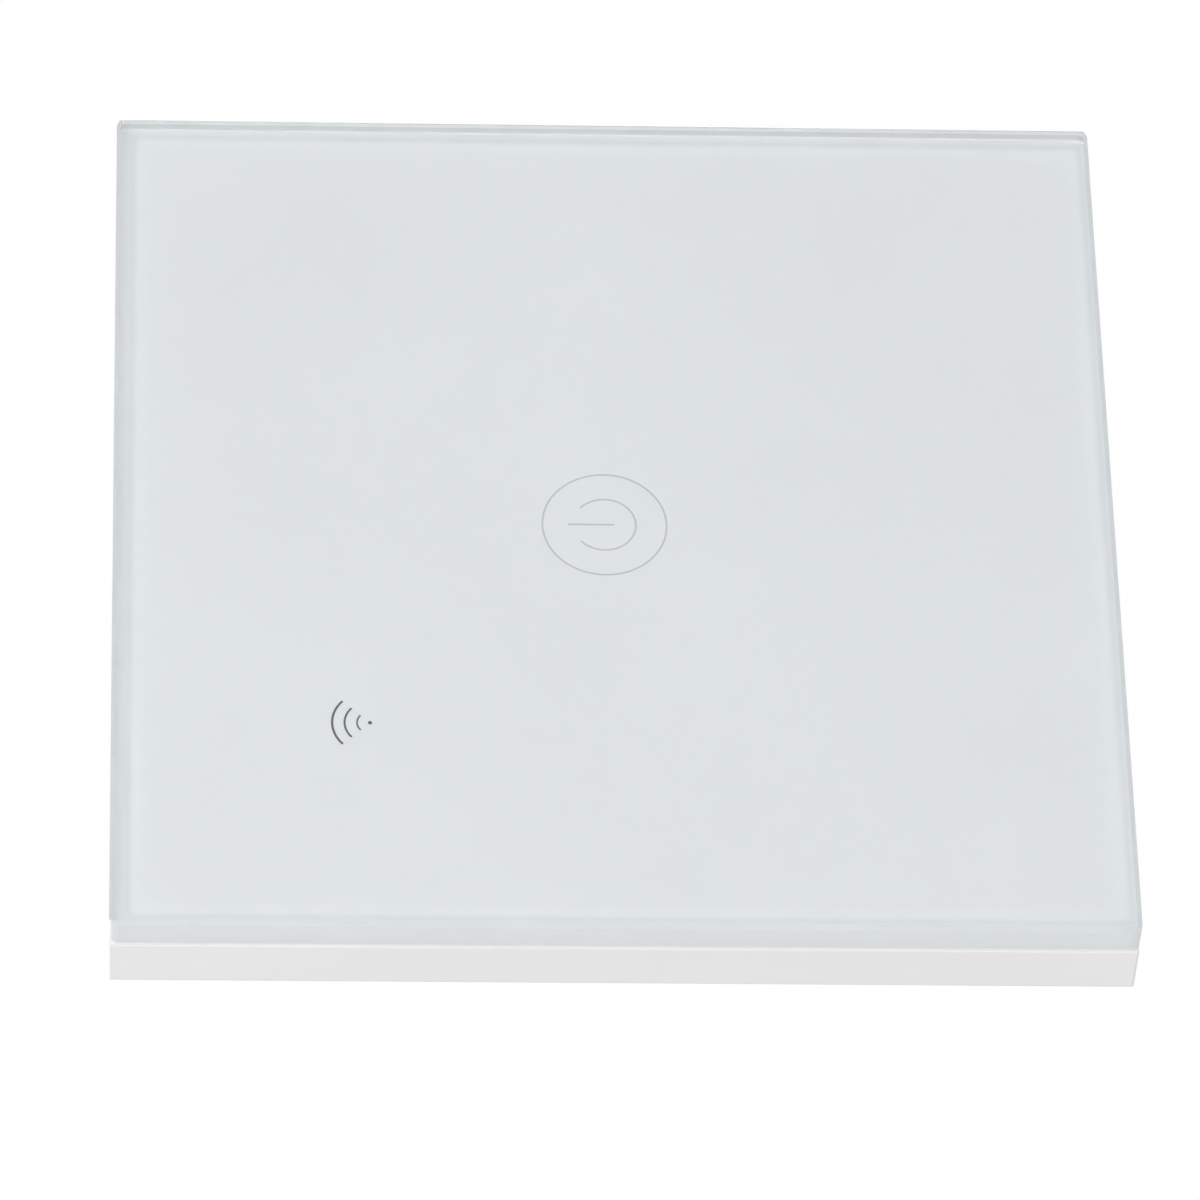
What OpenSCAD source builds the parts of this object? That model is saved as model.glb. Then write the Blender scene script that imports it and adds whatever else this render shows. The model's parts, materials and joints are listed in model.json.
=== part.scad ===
// Touch light switch for a square wall box.
// A printed glass panel on a white frame pulls off a base plate that screws to the box.
// Behind the plate a housing holds the mains board, its relay and three wire terminals.
// The wall plane is Y = 0, the glass looks along -Y and +Z is up.

/* [Glass panel] */
// Width and height of the glass and of the frame that carries it
panel_w = 86; // [80:0.5:95]
// Thickness of the glass
glass_t = 3; // [2:0.1:6]
// Radius of the glass corners
glass_corner_r = 0.9; // [0.6:0.1:5]
// Ground bevel along the front edges of the glass
glass_bevel = 0.4; // [0.2:0.05:0.7]
// Seamed bevel along the back edges of the glass
glass_seam = 0.15; // [0.1:0.05:0.4]
// Thickness of the white print on the back of the glass
print_t = 0.1; // [0.05:0.01:0.3]
// Bare border between the print and the glass edge
print_border = 0.2; // [0.2:0.1:2]
// Thickness of the adhesive tape between the print and the frame
tape_t = 0.25; // [0.1:0.05:0.6]
// Width of the adhesive tape
tape_w = 5; // [3:0.5:10]
// Distance from the panel edge to the tape
tape_border = 0.2; // [0.2:0.1:3]

/* [Panel frame] */
// Height of the frame's side walls
frame_h = 5.3; // [4.9:0.1:9]
// Thickness of the frame's side walls
frame_wall = 1.8; // [1.5:0.1:2.6]
// Thickness of the web behind the glass
frame_web = 1; // [0.8:0.1:1.6]
// How far each side leans in from the wall edge to the glass edge
frame_draft = 0.04; // [0.02:0.02:0.4]
// Radius of the frame corners
frame_corner_r = 0.3; // [0.2:0.1:5]
// Bevel along the frame's wall edge
frame_bevel = 0.25; // [0.1:0.05:0.8]
// Bevel along the frame's glass edge
frame_lip = 0.1; // [0.1:0.05:0.4]
// Gap between the frame and the wall
wall_gap = 0.3; // [0.1:0.1:0.8]
// Width of the notch where a screwdriver pries the panel off
pry_w = 9; // [6:0.5:16]
// Height of the pry notch
pry_h = 1.4; // [1:0.1:2]
// Thickness of the stiffening ribs behind the web
web_rib_t = 1; // [0.8:0.1:2]
// Depth of the stiffening ribs behind the web
web_rib_h = 0.6; // [0.3:0.1:0.8]

/* [Base plate] */
// Thickness of the base plate
plate_t = 2.2; // [2:0.1:2.8]
// Gap between the plate's rim and the frame
plate_gap = 0.4; // [0.35:0.05:0.8]
// Radius of the plate's corners
plate_corner_r = 2; // [1:0.5:6]
// Thickness of the rim around the plate
rim_wall = 1.4; // [1:0.1:2.4]
// Gap between the rim and the frame's web
rim_gap = 0.5; // [0.4:0.1:1]
// Thickness of the plate's ribs
plate_rib_t = 1.2; // [0.8:0.1:2]
// Height of the plate's ribs
plate_rib_h = 1; // [0.5:0.1:1.4]
// Distance of the plate's ribs from the middle
plate_rib_at = 13; // [10:0.5:18]
// Distance between the two wall box screws
box_spacing = 60; // [56:0.1:64]
// Width of the screw slots
slot_w = 4.2; // [3.4:0.1:5]
// End to end length of the screw slots
slot_l = 8.2; // [6:0.1:10]
// Depth of the seat for the rear housing
seat_depth = 0.8; // [0.5:0.1:1.2]
// Gap around the rear housing in its seat
seat_gap = 0.2; // [0.1:0.05:0.5]

/* [Panel clips] */
// Thickness of the spring steel clips
clip_t = 0.3; // [0.2:0.05:0.35]
// Width of each clip
clip_w = 8; // [5:0.5:12]
// Distance of the clips from the middle of the rim
clip_at = 22; // [18:0.5:30]
// Radius of the clip's bulge
clip_bulge_r = 0.9; // [0.7:0.05:1.1]
// How far the bulge reaches into the frame's wall
clip_bite = 0.4; // [0.2:0.05:0.6]

/* [Touch board] */
// Width and height of the touch board
touch_s = 51; // [48:0.5:56]
// Thickness of the touch board
touch_t = 1; // [0.8:0.1:1.4]
// Height of the pads that carry the touch board
touch_lift = 0.4; // [0.2:0.1:0.8]
// Width of the pads that carry the touch board
touch_pad = 9; // [7:0.5:10]
// Distance of the board's screws and peg from the board's edges
touch_inset = 4; // [3:0.25:5]
// Radius of the touch board screws
touch_screw_r = 0.9; // [0.7:0.05:1.2]
// Radius of the touch board screw heads
touch_head_r = 1.9; // [1.5:0.1:2.4]
// Height of the touch board screw heads
touch_head_h = 0.8; // [0.5:0.1:1.2]
// Wire thickness of the touch spring
spring_wire = 0.5; // [0.4:0.05:0.6]
// Radius of the touch spring where it stands on the board
spring_r = 6.6; // [6.4:0.1:8]
// Turns of the touch spring
spring_turns = 2; // [1:1:3]
// How much the spring widens with each turn
spring_step = 1.05; // [1:0.05:1.4]
// Radius of the bends at the spring's ends
spring_bend = 0.35; // [0.3:0.05:0.45]
// Distance of the signal icon from the panel's middle, both ways
signal_at = 20.5; // [18:0.5:22]
// Outer radius of the light guide behind the power icon
icon_guide_r = 5.6; // [4.8:0.1:6]
// Outer radius of the light guide behind the signal icon
signal_guide_r = 3.6; // [2.6:0.1:4.2]
// Wall thickness of the light guides
guide_wall = 0.8; // [0.5:0.1:1]
// Gap between the light guides and the print
guide_gap = 0.2; // [0.1:0.1:0.4]
// Length of the status lamps
lamp_l = 1.6; // [1.2:0.1:2.4]
// Width of the status lamps
lamp_w = 0.9; // [0.6:0.1:1.2]
// Height of the status lamps
lamp_h = 0.6; // [0.4:0.05:0.8]
// Distance of the two power lamps from the icon's middle
lamp_at = 1.8; // [1.4:0.1:2.6]

/* [Radio module] */
// Length of the radio module's board
radio_l = 24; // [20:0.5:26]
// Width of the radio module's board
radio_w = 14; // [12:0.5:15]
// Thickness of the radio module's board
radio_t = 0.8; // [0.6:0.1:1]
// Length of the radio module's shield
shield_l = 15; // [12:0.5:17]
// Width of the radio module's shield
shield_w = 11.5; // [9:0.5:12]
// Height of the radio module's shield
shield_h = 1.8; // [1.2:0.1:2.2]
// Distance of the radio module's middle from the board's middle
radio_at = 10; // [9:0.5:11]

/* [Board link] */
// Contacts in the link between the boards
link_n = 6; // [4:1:8]
// Distance between the link's contacts
link_pitch = 2; // [1.5:0.1:2.2]
// Width of the link's plastic strips
link_w = 2.4; // [2:0.1:3]
// Height of the header strip
header_h = 2; // [1.5:0.1:2.2]
// Radius of the link's pins
link_pin_r = 0.25; // [0.2:0.05:0.35]
// How deep the pins reach into the socket
link_reach = 2; // [1.5:0.1:2.4]
// Distance of the link from the board's middle
link_at = 12; // [10:0.5:13]

/* [Main board] */
// Distance from the wall plane to the main board
board_drop = 2.4; // [2:0.1:4]
// Thickness of the main board
main_t = 1.6; // [1:0.1:2]
// Gap between the main board and the housing
board_gap = 0.4; // [0.2:0.1:0.8]
// Cut across the main board's corners
board_chamfer = 9; // [7:0.5:11]
// Gap from the parts to the board's edge
edge_gap = 1; // [0.6:0.1:2]
// Gap between neighbouring parts
part_gap = 1; // [0.6:0.1:2]
// Radius of the part leads
lead_r = 0.4; // [0.3:0.05:0.5]
// How far leads stand out in front of the board
lead_tail = 0.8; // [0.5:0.1:1.2]
// Radius of the posts that hold the board down
post_r = 1.2; // [0.8:0.1:1.6]
// Distance of the posts from the board's edge
post_inset = 2; // [1.8:0.1:2.6]

/* [Relay] */
// Length of the relay
relay_l = 19; // [18:0.5:22]
// Width of the relay
relay_w = 15.5; // [13:0.5:18]
// Height of the relay
relay_h = 15.5; // [14:0.5:18]
// Wall of the relay's case
relay_wall = 0.7; // [0.5:0.1:1]
// Thickness of the relay's base
relay_base_t = 2; // [1.5:0.1:3]
// Thickness of the relay's iron parts
yoke_t = 1.2; // [1:0.1:1.5]
// Width of the relay's iron parts
yoke_w = 7; // [5:0.5:8.5]
// Radius of the relay's iron core
core_r = 1.8; // [1.4:0.1:2.2]
// Thickness of the bobbin's walls
bobbin_t = 0.6; // [0.4:0.1:0.8]
// Outer radius of the relay's winding
relay_coil_r = 4.2; // [3.6:0.1:4.6]
// Angle of the armature's swing
armature_swing = 4.5; // [3:0.5:5]
// Thickness of the contact blade
blade_t = 0.25; // [0.2:0.05:0.4]
// Width of the contact blade
blade_w = 4; // [3:0.5:5]
// Radius of the contact rivets
rivet_r = 1.2; // [0.9:0.1:1.4]
// Height of the contact rivets
rivet_h = 0.7; // [0.5:0.1:0.9]

/* [Supply parts] */
// Length of the transformer
trafo_l = 14; // [12:0.5:16]
// Width of the transformer
trafo_w = 13; // [12:0.5:15]
// Height of the transformer
trafo_h = 12; // [11:0.5:15]
// Depth of the transformer's core
trafo_core_d = 6; // [5:0.5:7]
// Thickness of the core's outer legs
trafo_leg_t = 2; // [1.5:0.1:2.4]
// Width of the core's middle leg
trafo_mid_w = 3.6; // [3:0.1:4]
// Thickness of the core above and below the winding
trafo_yoke_t = 2.4; // [2:0.1:2.8]
// Gap between the core and the board
trafo_lift = 0.8; // [0.5:0.1:1]
// Diameter of the bulk capacitor
bulk_d = 8; // [6.3:0.1:10]
// Height of the bulk capacitor
bulk_h = 14; // [11:0.5:16]
// Diameter of the output capacitor
output_d = 6.3; // [5:0.1:8]
// Height of the output capacitor
output_h = 11; // [7:0.5:14]
// Length of the film capacitor
film_l = 13; // [10:0.5:14]
// Width of the film capacitor
film_w = 6; // [5:0.5:8]
// Height of the film capacitor
film_h = 12; // [9:0.5:14]
// Diameter of the varistor
varistor_d = 8.6; // [7:0.1:10]
// Thickness of the varistor
varistor_t = 4; // [3:0.1:5]
// Diameter of the fuse
fuse_d = 8.4; // [7:0.1:9.5]
// Height of the fuse
fuse_h = 7.8; // [6:0.1:10]
// Diameter of the choke
choke_d = 6.4; // [5:0.1:8]
// Height of the choke
choke_h = 8; // [6:0.1:10]
// Length of the small chips
chip_l = 4.9; // [4:0.1:5.5]
// Width of the small chips
chip_w = 3.9; // [3:0.1:4.2]
// Height of the small chips
chip_h = 1.5; // [1.2:0.1:1.8]
// Legs on each side of the small chips
chip_pins = 4; // [3:1:5]
// Legs on each side of the bridge rectifier
bridge_pins = 2; // [2:1:3]

/* [Terminals] */
// Distance between neighbouring terminals
term_pitch = 7.5; // [7:0.1:8]
// Gap between neighbouring terminal bodies
term_gap = 0.2; // [0.1:0.05:0.4]
// Length of the terminal bodies
term_l = 10; // [9.5:0.1:12]
// How far the terminals stand out of the housing
term_proud = 0.3; // [0.1:0.1:1]
// Thickness of the wall that the wire passes
term_wall = 1.6; // [1.2:0.1:2]
// Radius of the wire ports
wire_r = 1.6; // [1.2:0.05:1.7]
// Clear height of the open clamp
clamp_open = 3.4; // [3.3:0.1:4]
// Travel of the clamp cage
clamp_travel = 2.5; // [2:0.1:3]
// Width of the clamp cage
cage_w = 5.4; // [4.8:0.1:5.8]
// Length of the clamp cage
cage_l = 5; // [4.4:0.1:5.4]
// Thickness of the cage's sides and of its clamping bar
cage_t = 0.7; // [0.5:0.05:0.9]
// Thickness of the cage's threaded end
cage_nut_t = 1.6; // [1.2:0.1:2]
// Thickness of the contact tongue
tongue_t = 0.9; // [0.6:0.1:1.2]
// Radius of the clamp screws
clamp_screw_r = 1.5; // [1.2:0.05:1.6]
// Radius of the clamp screw heads
clamp_head_r = 2.4; // [2:0.1:2.6]
// Height of the clamp screw heads
clamp_head_h = 1.6; // [1.2:0.1:2]
// Width of the screwdriver slots
driver_w = 0.7; // [0.5:0.1:1]

/* [Rear housing] */
// Wall thickness of the housing
house_wall = 1.6; // [1.2:0.1:2.4]
// Cut across the housing's corners
house_chamfer = 9; // [8:0.5:11]
// How far each housing side leans in towards the back
house_draft = 0.3; // [0.05:0.05:0.6]
// Bevel along the housing's back edges
house_bevel = 0.8; // [0.3:0.1:1]
// Bevel along the housing's front edges
house_lip = 0.2; // [0.1:0.05:0.4]
// Clear space behind the tallest part
depth_gap = 0.8; // [0.4:0.1:2]
// Depth of the field that frames the vents
field_depth = 0.4; // [0.2:0.1:0.8]
// Width of the vent slots
vent_w = 1.6; // [1:0.1:2.4]
// Length of the vent slots
vent_l = 18; // [10:0.5:20]
// Distance between neighbouring vent slots
vent_pitch = 3.6; // [3:0.1:5]
// Vent slots in the back of the housing
vent_n = 6; // [3:1:7]
// Vent slots in each side of the housing
side_vent_n = 4; // [2:1:5]
// Length of the side vents
side_vent_l = 9; // [6:0.5:11]
// Gap between the terminals and the housing
bay_gap = 0.3; // [0.2:0.05:0.6]
// Wall of the terminal bay
bay_wall = 1.2; // [0.8:0.1:1.8]
// How far the bay's wall laps the terminals
bay_lap = 2; // [1:0.1:4]
// Radius of the columns that carry the housing
column_r = 2.8; // [2.4:0.1:3.2]
// Length of the columns behind the wall plane
column_l = 8; // [7:0.5:9]
// Wall of the sockets that take the columns
socket_wall = 1.2; // [0.8:0.1:1.6]
// Thickness of the socket's floor under the screw head
socket_floor = 2; // [1.5:0.1:3]
// Radius of the housing screws
house_screw_r = 1.2; // [1:0.05:1.4]
// Radius of the housing screw heads
house_head_r = 2.2; // [1.9:0.1:2.5]
// Height of the housing screw heads
house_head_h = 1.6; // [1.2:0.1:2]
// How deep the housing screws reach into the columns
house_screw_reach = 5; // [4:0.5:6]

/* [Hidden] */
$fn = 48;

// Overshoot of a cut past the face that it opens
cut = 1;
// Clearance of a pin, shaft or shell in its own hole
fit_gap = 0.05;
// Clearance around pieces that are pushed into place
push_gap = 0.15;
// Clearance around round pieces that turn or slide
turn_gap = 0.3;
// Side signs for mirrored pairs
sides = [-1, 1];
// Quarter angles for features that repeat on four sides
quarters = [0, 90, 180, 270];

// Heights above the wall plane, from the plate out to the face
frame_front_z = wall_gap + frame_h;
web_z = frame_front_z - frame_web;
print_z = frame_front_z + tape_t;
glass_z = print_z + print_t;
face_z = glass_z + glass_t;
rim_z = web_z - rim_gap;
touch_back_z = plate_t + touch_lift;
touch_front_z = touch_back_z + touch_t;
main_front_z = -board_drop;
main_back_z = main_front_z - main_t;

// Outlines of the nested front pieces
cavity_w = panel_w - 2 * frame_wall;
plate_w = cavity_w - 2 * plate_gap;
rim_in_w = plate_w - 2 * rim_wall;
touch_hole_at = touch_s / 2 - touch_inset;

// Touch spring winding
spring_rings = 8;
spring_sides = 6;
spring_bend_rings = 3;
spring_clear = 0.8;
spring_winding_z = touch_front_z + spring_wire + spring_bend;
spring_rise = print_z - touch_front_z - 2 * (spring_wire + spring_bend);
spring_steps = spring_turns * spring_rings;
spring_phase = atan2(spring_bend, spring_r);
spring_end_angle = spring_phase + 360 * spring_turns;
spring_window_r = spring_r + spring_step * spring_turns + spring_wire / 2 + spring_clear;

// Clamp heights above the main board
clamp_floor = 1;
nut_slack = 0.6;
ledge_gap = 0.2;
ledge_t = 0.8;
well_rim = 0.6;
wire_u = clamp_floor + cage_t + clamp_open / 2;
tongue_u = clamp_floor + cage_t + clamp_open;
nut_u = tongue_u + tongue_t + nut_slack;
cage_h = nut_u + cage_nut_t - clamp_floor;
ledge_u = nut_u + cage_nut_t + clamp_travel + ledge_gap;
clamp_head_u = ledge_u + ledge_t;
term_h = clamp_head_u + clamp_head_h + well_rim;

// Clamp positions along the terminal, from the wire face inwards
pole_n = 3;
term_w = term_pitch - term_gap;
cage_gap = 0.1;
cage_play = 0.2;
tongue_leg_t = 0.8;
shaft_w = cage_w + 2 * cage_gap;
cage_at = term_wall + cage_play;
clamp_at = cage_at + cage_l / 2;
leg_at = cage_at + cage_l + 2 * cage_play;
shaft_l = leg_at + tongue_leg_t + cage_gap - term_wall;
tongue_w = cage_w - 2 * cage_t - 2 * cage_play;

// Housing columns, sockets and screw bores
socket_bore_r = column_r + push_gap;
socket_r = socket_bore_r + socket_wall;
head_bore_r = house_head_r + 2 * push_gap;
column_in = (house_chamfer + sqrt(2) * (head_bore_r + house_wall + house_draft)) / 2;
board_margin = board_gap + house_wall;
corner_reach = column_in + socket_r + part_gap - board_margin;

// Rows of parts on the main board, from the terminals up
chip_leg = 1;
chip_reach = chip_w + 2 * chip_leg;
term_over = board_margin + term_proud;
row_b_start = max(term_l - term_over + bay_gap + bay_wall + part_gap / 2, corner_reach);
row_b_d = max(relay_w, trafo_w, bulk_d);
row_c_start = row_b_start + row_b_d + part_gap;
row_c_d = max(fuse_d, varistor_t, choke_d, chip_reach);
row_d_start = row_c_start + row_c_d + part_gap;
row_d_d = max(film_w, output_d);
row_b_w = relay_l + trafo_l + bulk_d + 2 * part_gap + 2 * edge_gap;
row_c_w = fuse_d + 2 * chip_l + varistor_d + choke_d + 4 * part_gap + 2 * edge_gap;
row_d_w = film_l + output_d + part_gap;
rows_h = row_d_start + row_d_d + edge_gap;
corner_h = row_c_start + row_c_d + corner_reach;
corner_w = max(row_d_w, pole_n * term_pitch) + 2 * corner_reach;
board_s = max(row_b_w, row_c_w, rows_h, corner_h, corner_w);
row_b_y = row_b_start + row_b_d / 2 - board_s / 2;
row_c_y = row_c_start + row_c_d / 2 - board_s / 2;
row_d_y = row_d_start + row_d_d / 2 - board_s / 2;
relay_x = edge_gap + relay_l / 2 - row_b_w / 2;
trafo_x = relay_x + (relay_l + trafo_l) / 2 + part_gap;
bulk_x = trafo_x + (trafo_l + bulk_d) / 2 + part_gap;
fuse_x = edge_gap + fuse_d / 2 - row_c_w / 2;
bridge_x = fuse_x + (fuse_d + chip_l) / 2 + part_gap;
power_x = bridge_x + chip_l + part_gap;
varistor_x = power_x + (chip_l + varistor_d) / 2 + part_gap;
choke_x = varistor_x + (varistor_d + choke_d) / 2 + part_gap;
film_x = film_l / 2 - row_d_w / 2;
output_x = film_x + (film_l + output_d) / 2 + part_gap;
term_y = -board_s / 2 - term_over;

// Rear housing and the openings that the plate leaves for the boards
house_s = board_s + 2 * board_margin;
column_at = house_s / 2 - column_in;
tallest = max(relay_h, trafo_h, bulk_h, output_h, film_h, varistor_d + edge_gap, fuse_h, choke_h);
house_back_z = main_back_z - tallest - depth_gap - house_wall;
bay_w = pole_n * term_pitch + 2 * bay_gap;
bay_top_y = term_y + term_l + bay_gap;
vent_mid_y = (bay_top_y + bay_wall + house_s / 2 - house_bevel) / 2;
post_at = board_s / 2 - post_inset;
side_post_y = row_c_start - part_gap / 2 - board_s / 2;
posts_at = [[-post_at, side_post_y], [post_at, side_post_y], [0, -post_at], [0, post_at]];
window_l = 2 * (post_at - post_r - push_gap);
window_w = 2 * (column_at - column_r - edge_gap);

// Relay heights above the main board
relay_in_l = relay_l - 2 * relay_wall;
relay_in_w = relay_w - 2 * relay_wall;
relay_head = 0.4;
relay_side = 0.3;
armature_t = yoke_t;
pivot_gap = 0.05;
yoke_x = -relay_in_l / 2 + relay_side;
relay_flange_r = relay_coil_r + bobbin_t / 2;
relay_coil_x = yoke_x + yoke_t + relay_side + relay_flange_r;
contact_x = relay_in_l / 2 - relay_side - rivet_r;
pivot_x = yoke_x + armature_t / 2;
blade_l = contact_x + rivet_r - pivot_x;
armature_lift = blade_l * sin(armature_swing);
pole_u = relay_h - relay_wall - relay_head - armature_lift - blade_t - armature_t - pivot_gap;
bobbin_u = relay_base_t + yoke_t;
bobbin_h = pole_u - bobbin_u - pivot_gap;
blade_u = pole_u + pivot_gap + armature_t;
fixed_top_u = blade_u - rivet_h - pivot_gap;
coil_pin_y = yoke_w / 2 + lead_r + relay_side;

// Transformer core window and winding
trafo_gap = 0.1;
trafo_flange_t = 0.6;
trafo_window_w = (trafo_l - 2 * trafo_leg_t - trafo_mid_w) / 2;
trafo_window_u = trafo_lift + trafo_yoke_t;
trafo_window_h = trafo_h - trafo_lift - 2 * trafo_yoke_t;
trafo_flange_w = trafo_mid_w + 2 * trafo_window_w - 2 * trafo_gap;
trafo_tube_w = trafo_mid_w + 2 * trafo_gap + 2 * trafo_flange_t;
trafo_tube_d = trafo_core_d + 2 * trafo_gap + 2 * trafo_flange_t;
trafo_rail_d = (trafo_w - trafo_core_d) / 2 - trafo_gap;
trafo_rail_y = trafo_w / 2 - trafo_rail_d / 2;

// Lead positions on the main board, as [x, y]
function pair(x, y, pitch) = [for (s = sides) [x + s * pitch / 2, y]];
function shifted(points, x, y) = [for (p = points) [p[0] + x, p[1] + y]];
function pole_x(i) = (i - (pole_n - 1) / 2) * term_pitch;
relay_pins_at = [for (y = [-coil_pin_y, 0, coil_pin_y]) [yoke_x + yoke_t / 2, y]];
relay_contact_at = [contact_x, 0];
trafo_pins_at = [for (x = sides, y = sides) [x * trafo_flange_w / 3, y * trafo_rail_y]];
tongue_pins_at = [for (i = [0:pole_n - 1]) [pole_x(i), term_y + leg_at + tongue_leg_t / 2]];
main_leads = concat(
  shifted(concat(relay_pins_at, [relay_contact_at]), relay_x, row_b_y),
  shifted(trafo_pins_at, trafo_x, row_b_y),
  pair(bulk_x, row_b_y, bulk_d / 2),
  pair(output_x, row_d_y, output_d / 2),
  pair(film_x, row_d_y, film_l * 3 / 4),
  pair(varistor_x, row_c_y, varistor_d / 2),
  pair(fuse_x, row_c_y, fuse_d / 2),
  pair(choke_x, row_c_y, choke_d / 2),
  tongue_pins_at
);

// Drawing helpers

// Stands the drawing frame up: its z axis leaves the wall and its y axis points up.
module upright() {
  rotate([90, 0, 0])
    children();
}

// Draws on the back of the main board, with z as the height above the board.
module behind_board(x = 0, y = 0) {
  upright()
    translate([x, y, main_back_z])
      mirror([0, 0, 1])
        children();
}

// A block centred in x and y, from z0 to z1, with round corners.
module slab(w, h, z0, z1, r) {
  translate([0, 0, z0])
    linear_extrude(z1 - z0) {
      square([w - 2 * r, h], center = true);
      square([w, h - 2 * r], center = true);
      for (x = sides, y = sides)
        translate([x * (w / 2 - r), y * (h / 2 - r)])
          circle(r);
    }
}

// A block centred in x and y, from z0 to z1.
module block(w, h, z0, z1) {
  translate([-w / 2, -h / 2, z0])
    cube([w, h, z1 - z0]);
}

// A square prism with cut corners, from z0 to z1.
module cut_square(s, chamfer, z0, z1) {
  a = s / 2;
  b = s / 2 - chamfer;
  translate([0, 0, z0])
    linear_extrude(z1 - z0)
      polygon([[a, b], [b, a], [-b, a], [-a, b], [-a, -b], [-b, -a], [b, -a], [a, -b]]);
}

// Cross-section of a moulded side: leaning walls with a bevel at the back and at the front.
module side_profile(back_w, front_w, z0, z1, back_bevel, front_bevel) {
  right = [
    [back_w / 2 - back_bevel, z0],
    [back_w / 2, z0 + back_bevel],
    [front_w / 2, z1 - front_bevel],
    [front_w / 2 - front_bevel, z1]
  ];
  left = [for (i = [len(right) - 1:-1:0]) [-right[i][0], right[i][1]]];
  polygon(concat(right, left));
}

// Keeps what lies inside the side profile, seen from both directions.
module keep_sides(back_w, front_w, z0, z1, back_bevel, front_bevel) {
  bar_l = 2 * max(back_w, front_w);
  intersection() {
    children();
    rotate([90, 0, 0])
      linear_extrude(bar_l, center = true)
        side_profile(back_w, front_w, z0, z1, back_bevel, front_bevel);
    rotate([90, 0, 90])
      linear_extrude(bar_l, center = true)
        side_profile(back_w, front_w, z0, z1, back_bevel, front_bevel);
  }
}

// A slot along x, from z0 to z1, with round ends.
module slot(l, w, z0, z1) {
  block(l - w, w, z0, z1);
  for (s = sides)
    translate([s * (l - w) / 2, 0, z0])
      cylinder(d = w, h = z1 - z0);
}

// Front panel

module glass_panel() {
  color("lightcyan", 0.5)
    upright()
      keep_sides(panel_w, panel_w, glass_z, face_z, glass_seam, glass_bevel)
        slab(panel_w, panel_w, glass_z, face_z, glass_corner_r);
}

module glass_print() {
  print_w = panel_w - 2 * print_border;
  color("white")
    upright()
      slab(print_w, print_w, print_z, glass_z, glass_corner_r / 2);
}

module panel_tape() {
  tape_out = panel_w - 2 * tape_border;
  tape_in = tape_out - 2 * tape_w;
  color("gainsboro")
    upright()
      difference() {
        slab(tape_out, tape_out, frame_front_z, print_z, glass_corner_r / 2);
        block(tape_in, tape_in, frame_front_z - cut, print_z + cut);
      }
}

// The clip's bulge, and the groove that it snaps into, lie along the rim.
module clip_bulge(r, length) {
  rotate([90, 0, 0])
    cylinder(r = r, h = length, center = true);
}

clip_bulge_x = cavity_w / 2 + clip_bite - clip_bulge_r;
clip_bulge_z = plate_t;

module panel_frame() {
  front_w = panel_w - 2 * frame_draft;
  color("white")
    upright()
      difference() {
        union() {
          difference() {
            keep_sides(panel_w, front_w, wall_gap, frame_front_z, frame_bevel, frame_lip)
              slab(panel_w, panel_w, wall_gap, frame_front_z, frame_corner_r);
            slab(cavity_w, cavity_w, wall_gap - cut, web_z, frame_corner_r / 2);
          }
          for (turn = quarters)
            rotate(turn)
              translate([(rim_in_w + touch_s) / 4, 0, 0])
                block(web_rib_t, touch_s, web_z - web_rib_h, web_z + frame_web / 2);
        }
        translate([0, 0, web_z - cut])
          cylinder(r = spring_window_r, h = frame_web + 2 * cut);
        translate([-signal_at, signal_at, web_z - cut])
          cylinder(r = signal_guide_r + spring_clear, h = frame_web + 2 * cut);
        for (s = sides)
          translate([s * touch_hole_at, s * touch_hole_at, web_z - cut])
            cylinder(r = touch_head_r + spring_clear, h = frame_web + 2 * cut);
        for (s = sides)
          translate([s * box_spacing / 2, 0, 0])
            slab(slot_l + slot_w, 2 * slot_w, web_z - web_rib_h - cut, frame_front_z + cut, slot_w / 2);
        for (x = sides, y = sides)
          translate([x * clip_bulge_x, y * clip_at, clip_bulge_z])
            clip_bulge(clip_bulge_r + push_gap, clip_w + 2 * spring_clear);
        translate([0, -panel_w / 2, wall_gap])
          cube([pry_w, 2 * frame_wall + cut, 2 * pry_h], center = true);
      }
}

// Base plate

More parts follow.
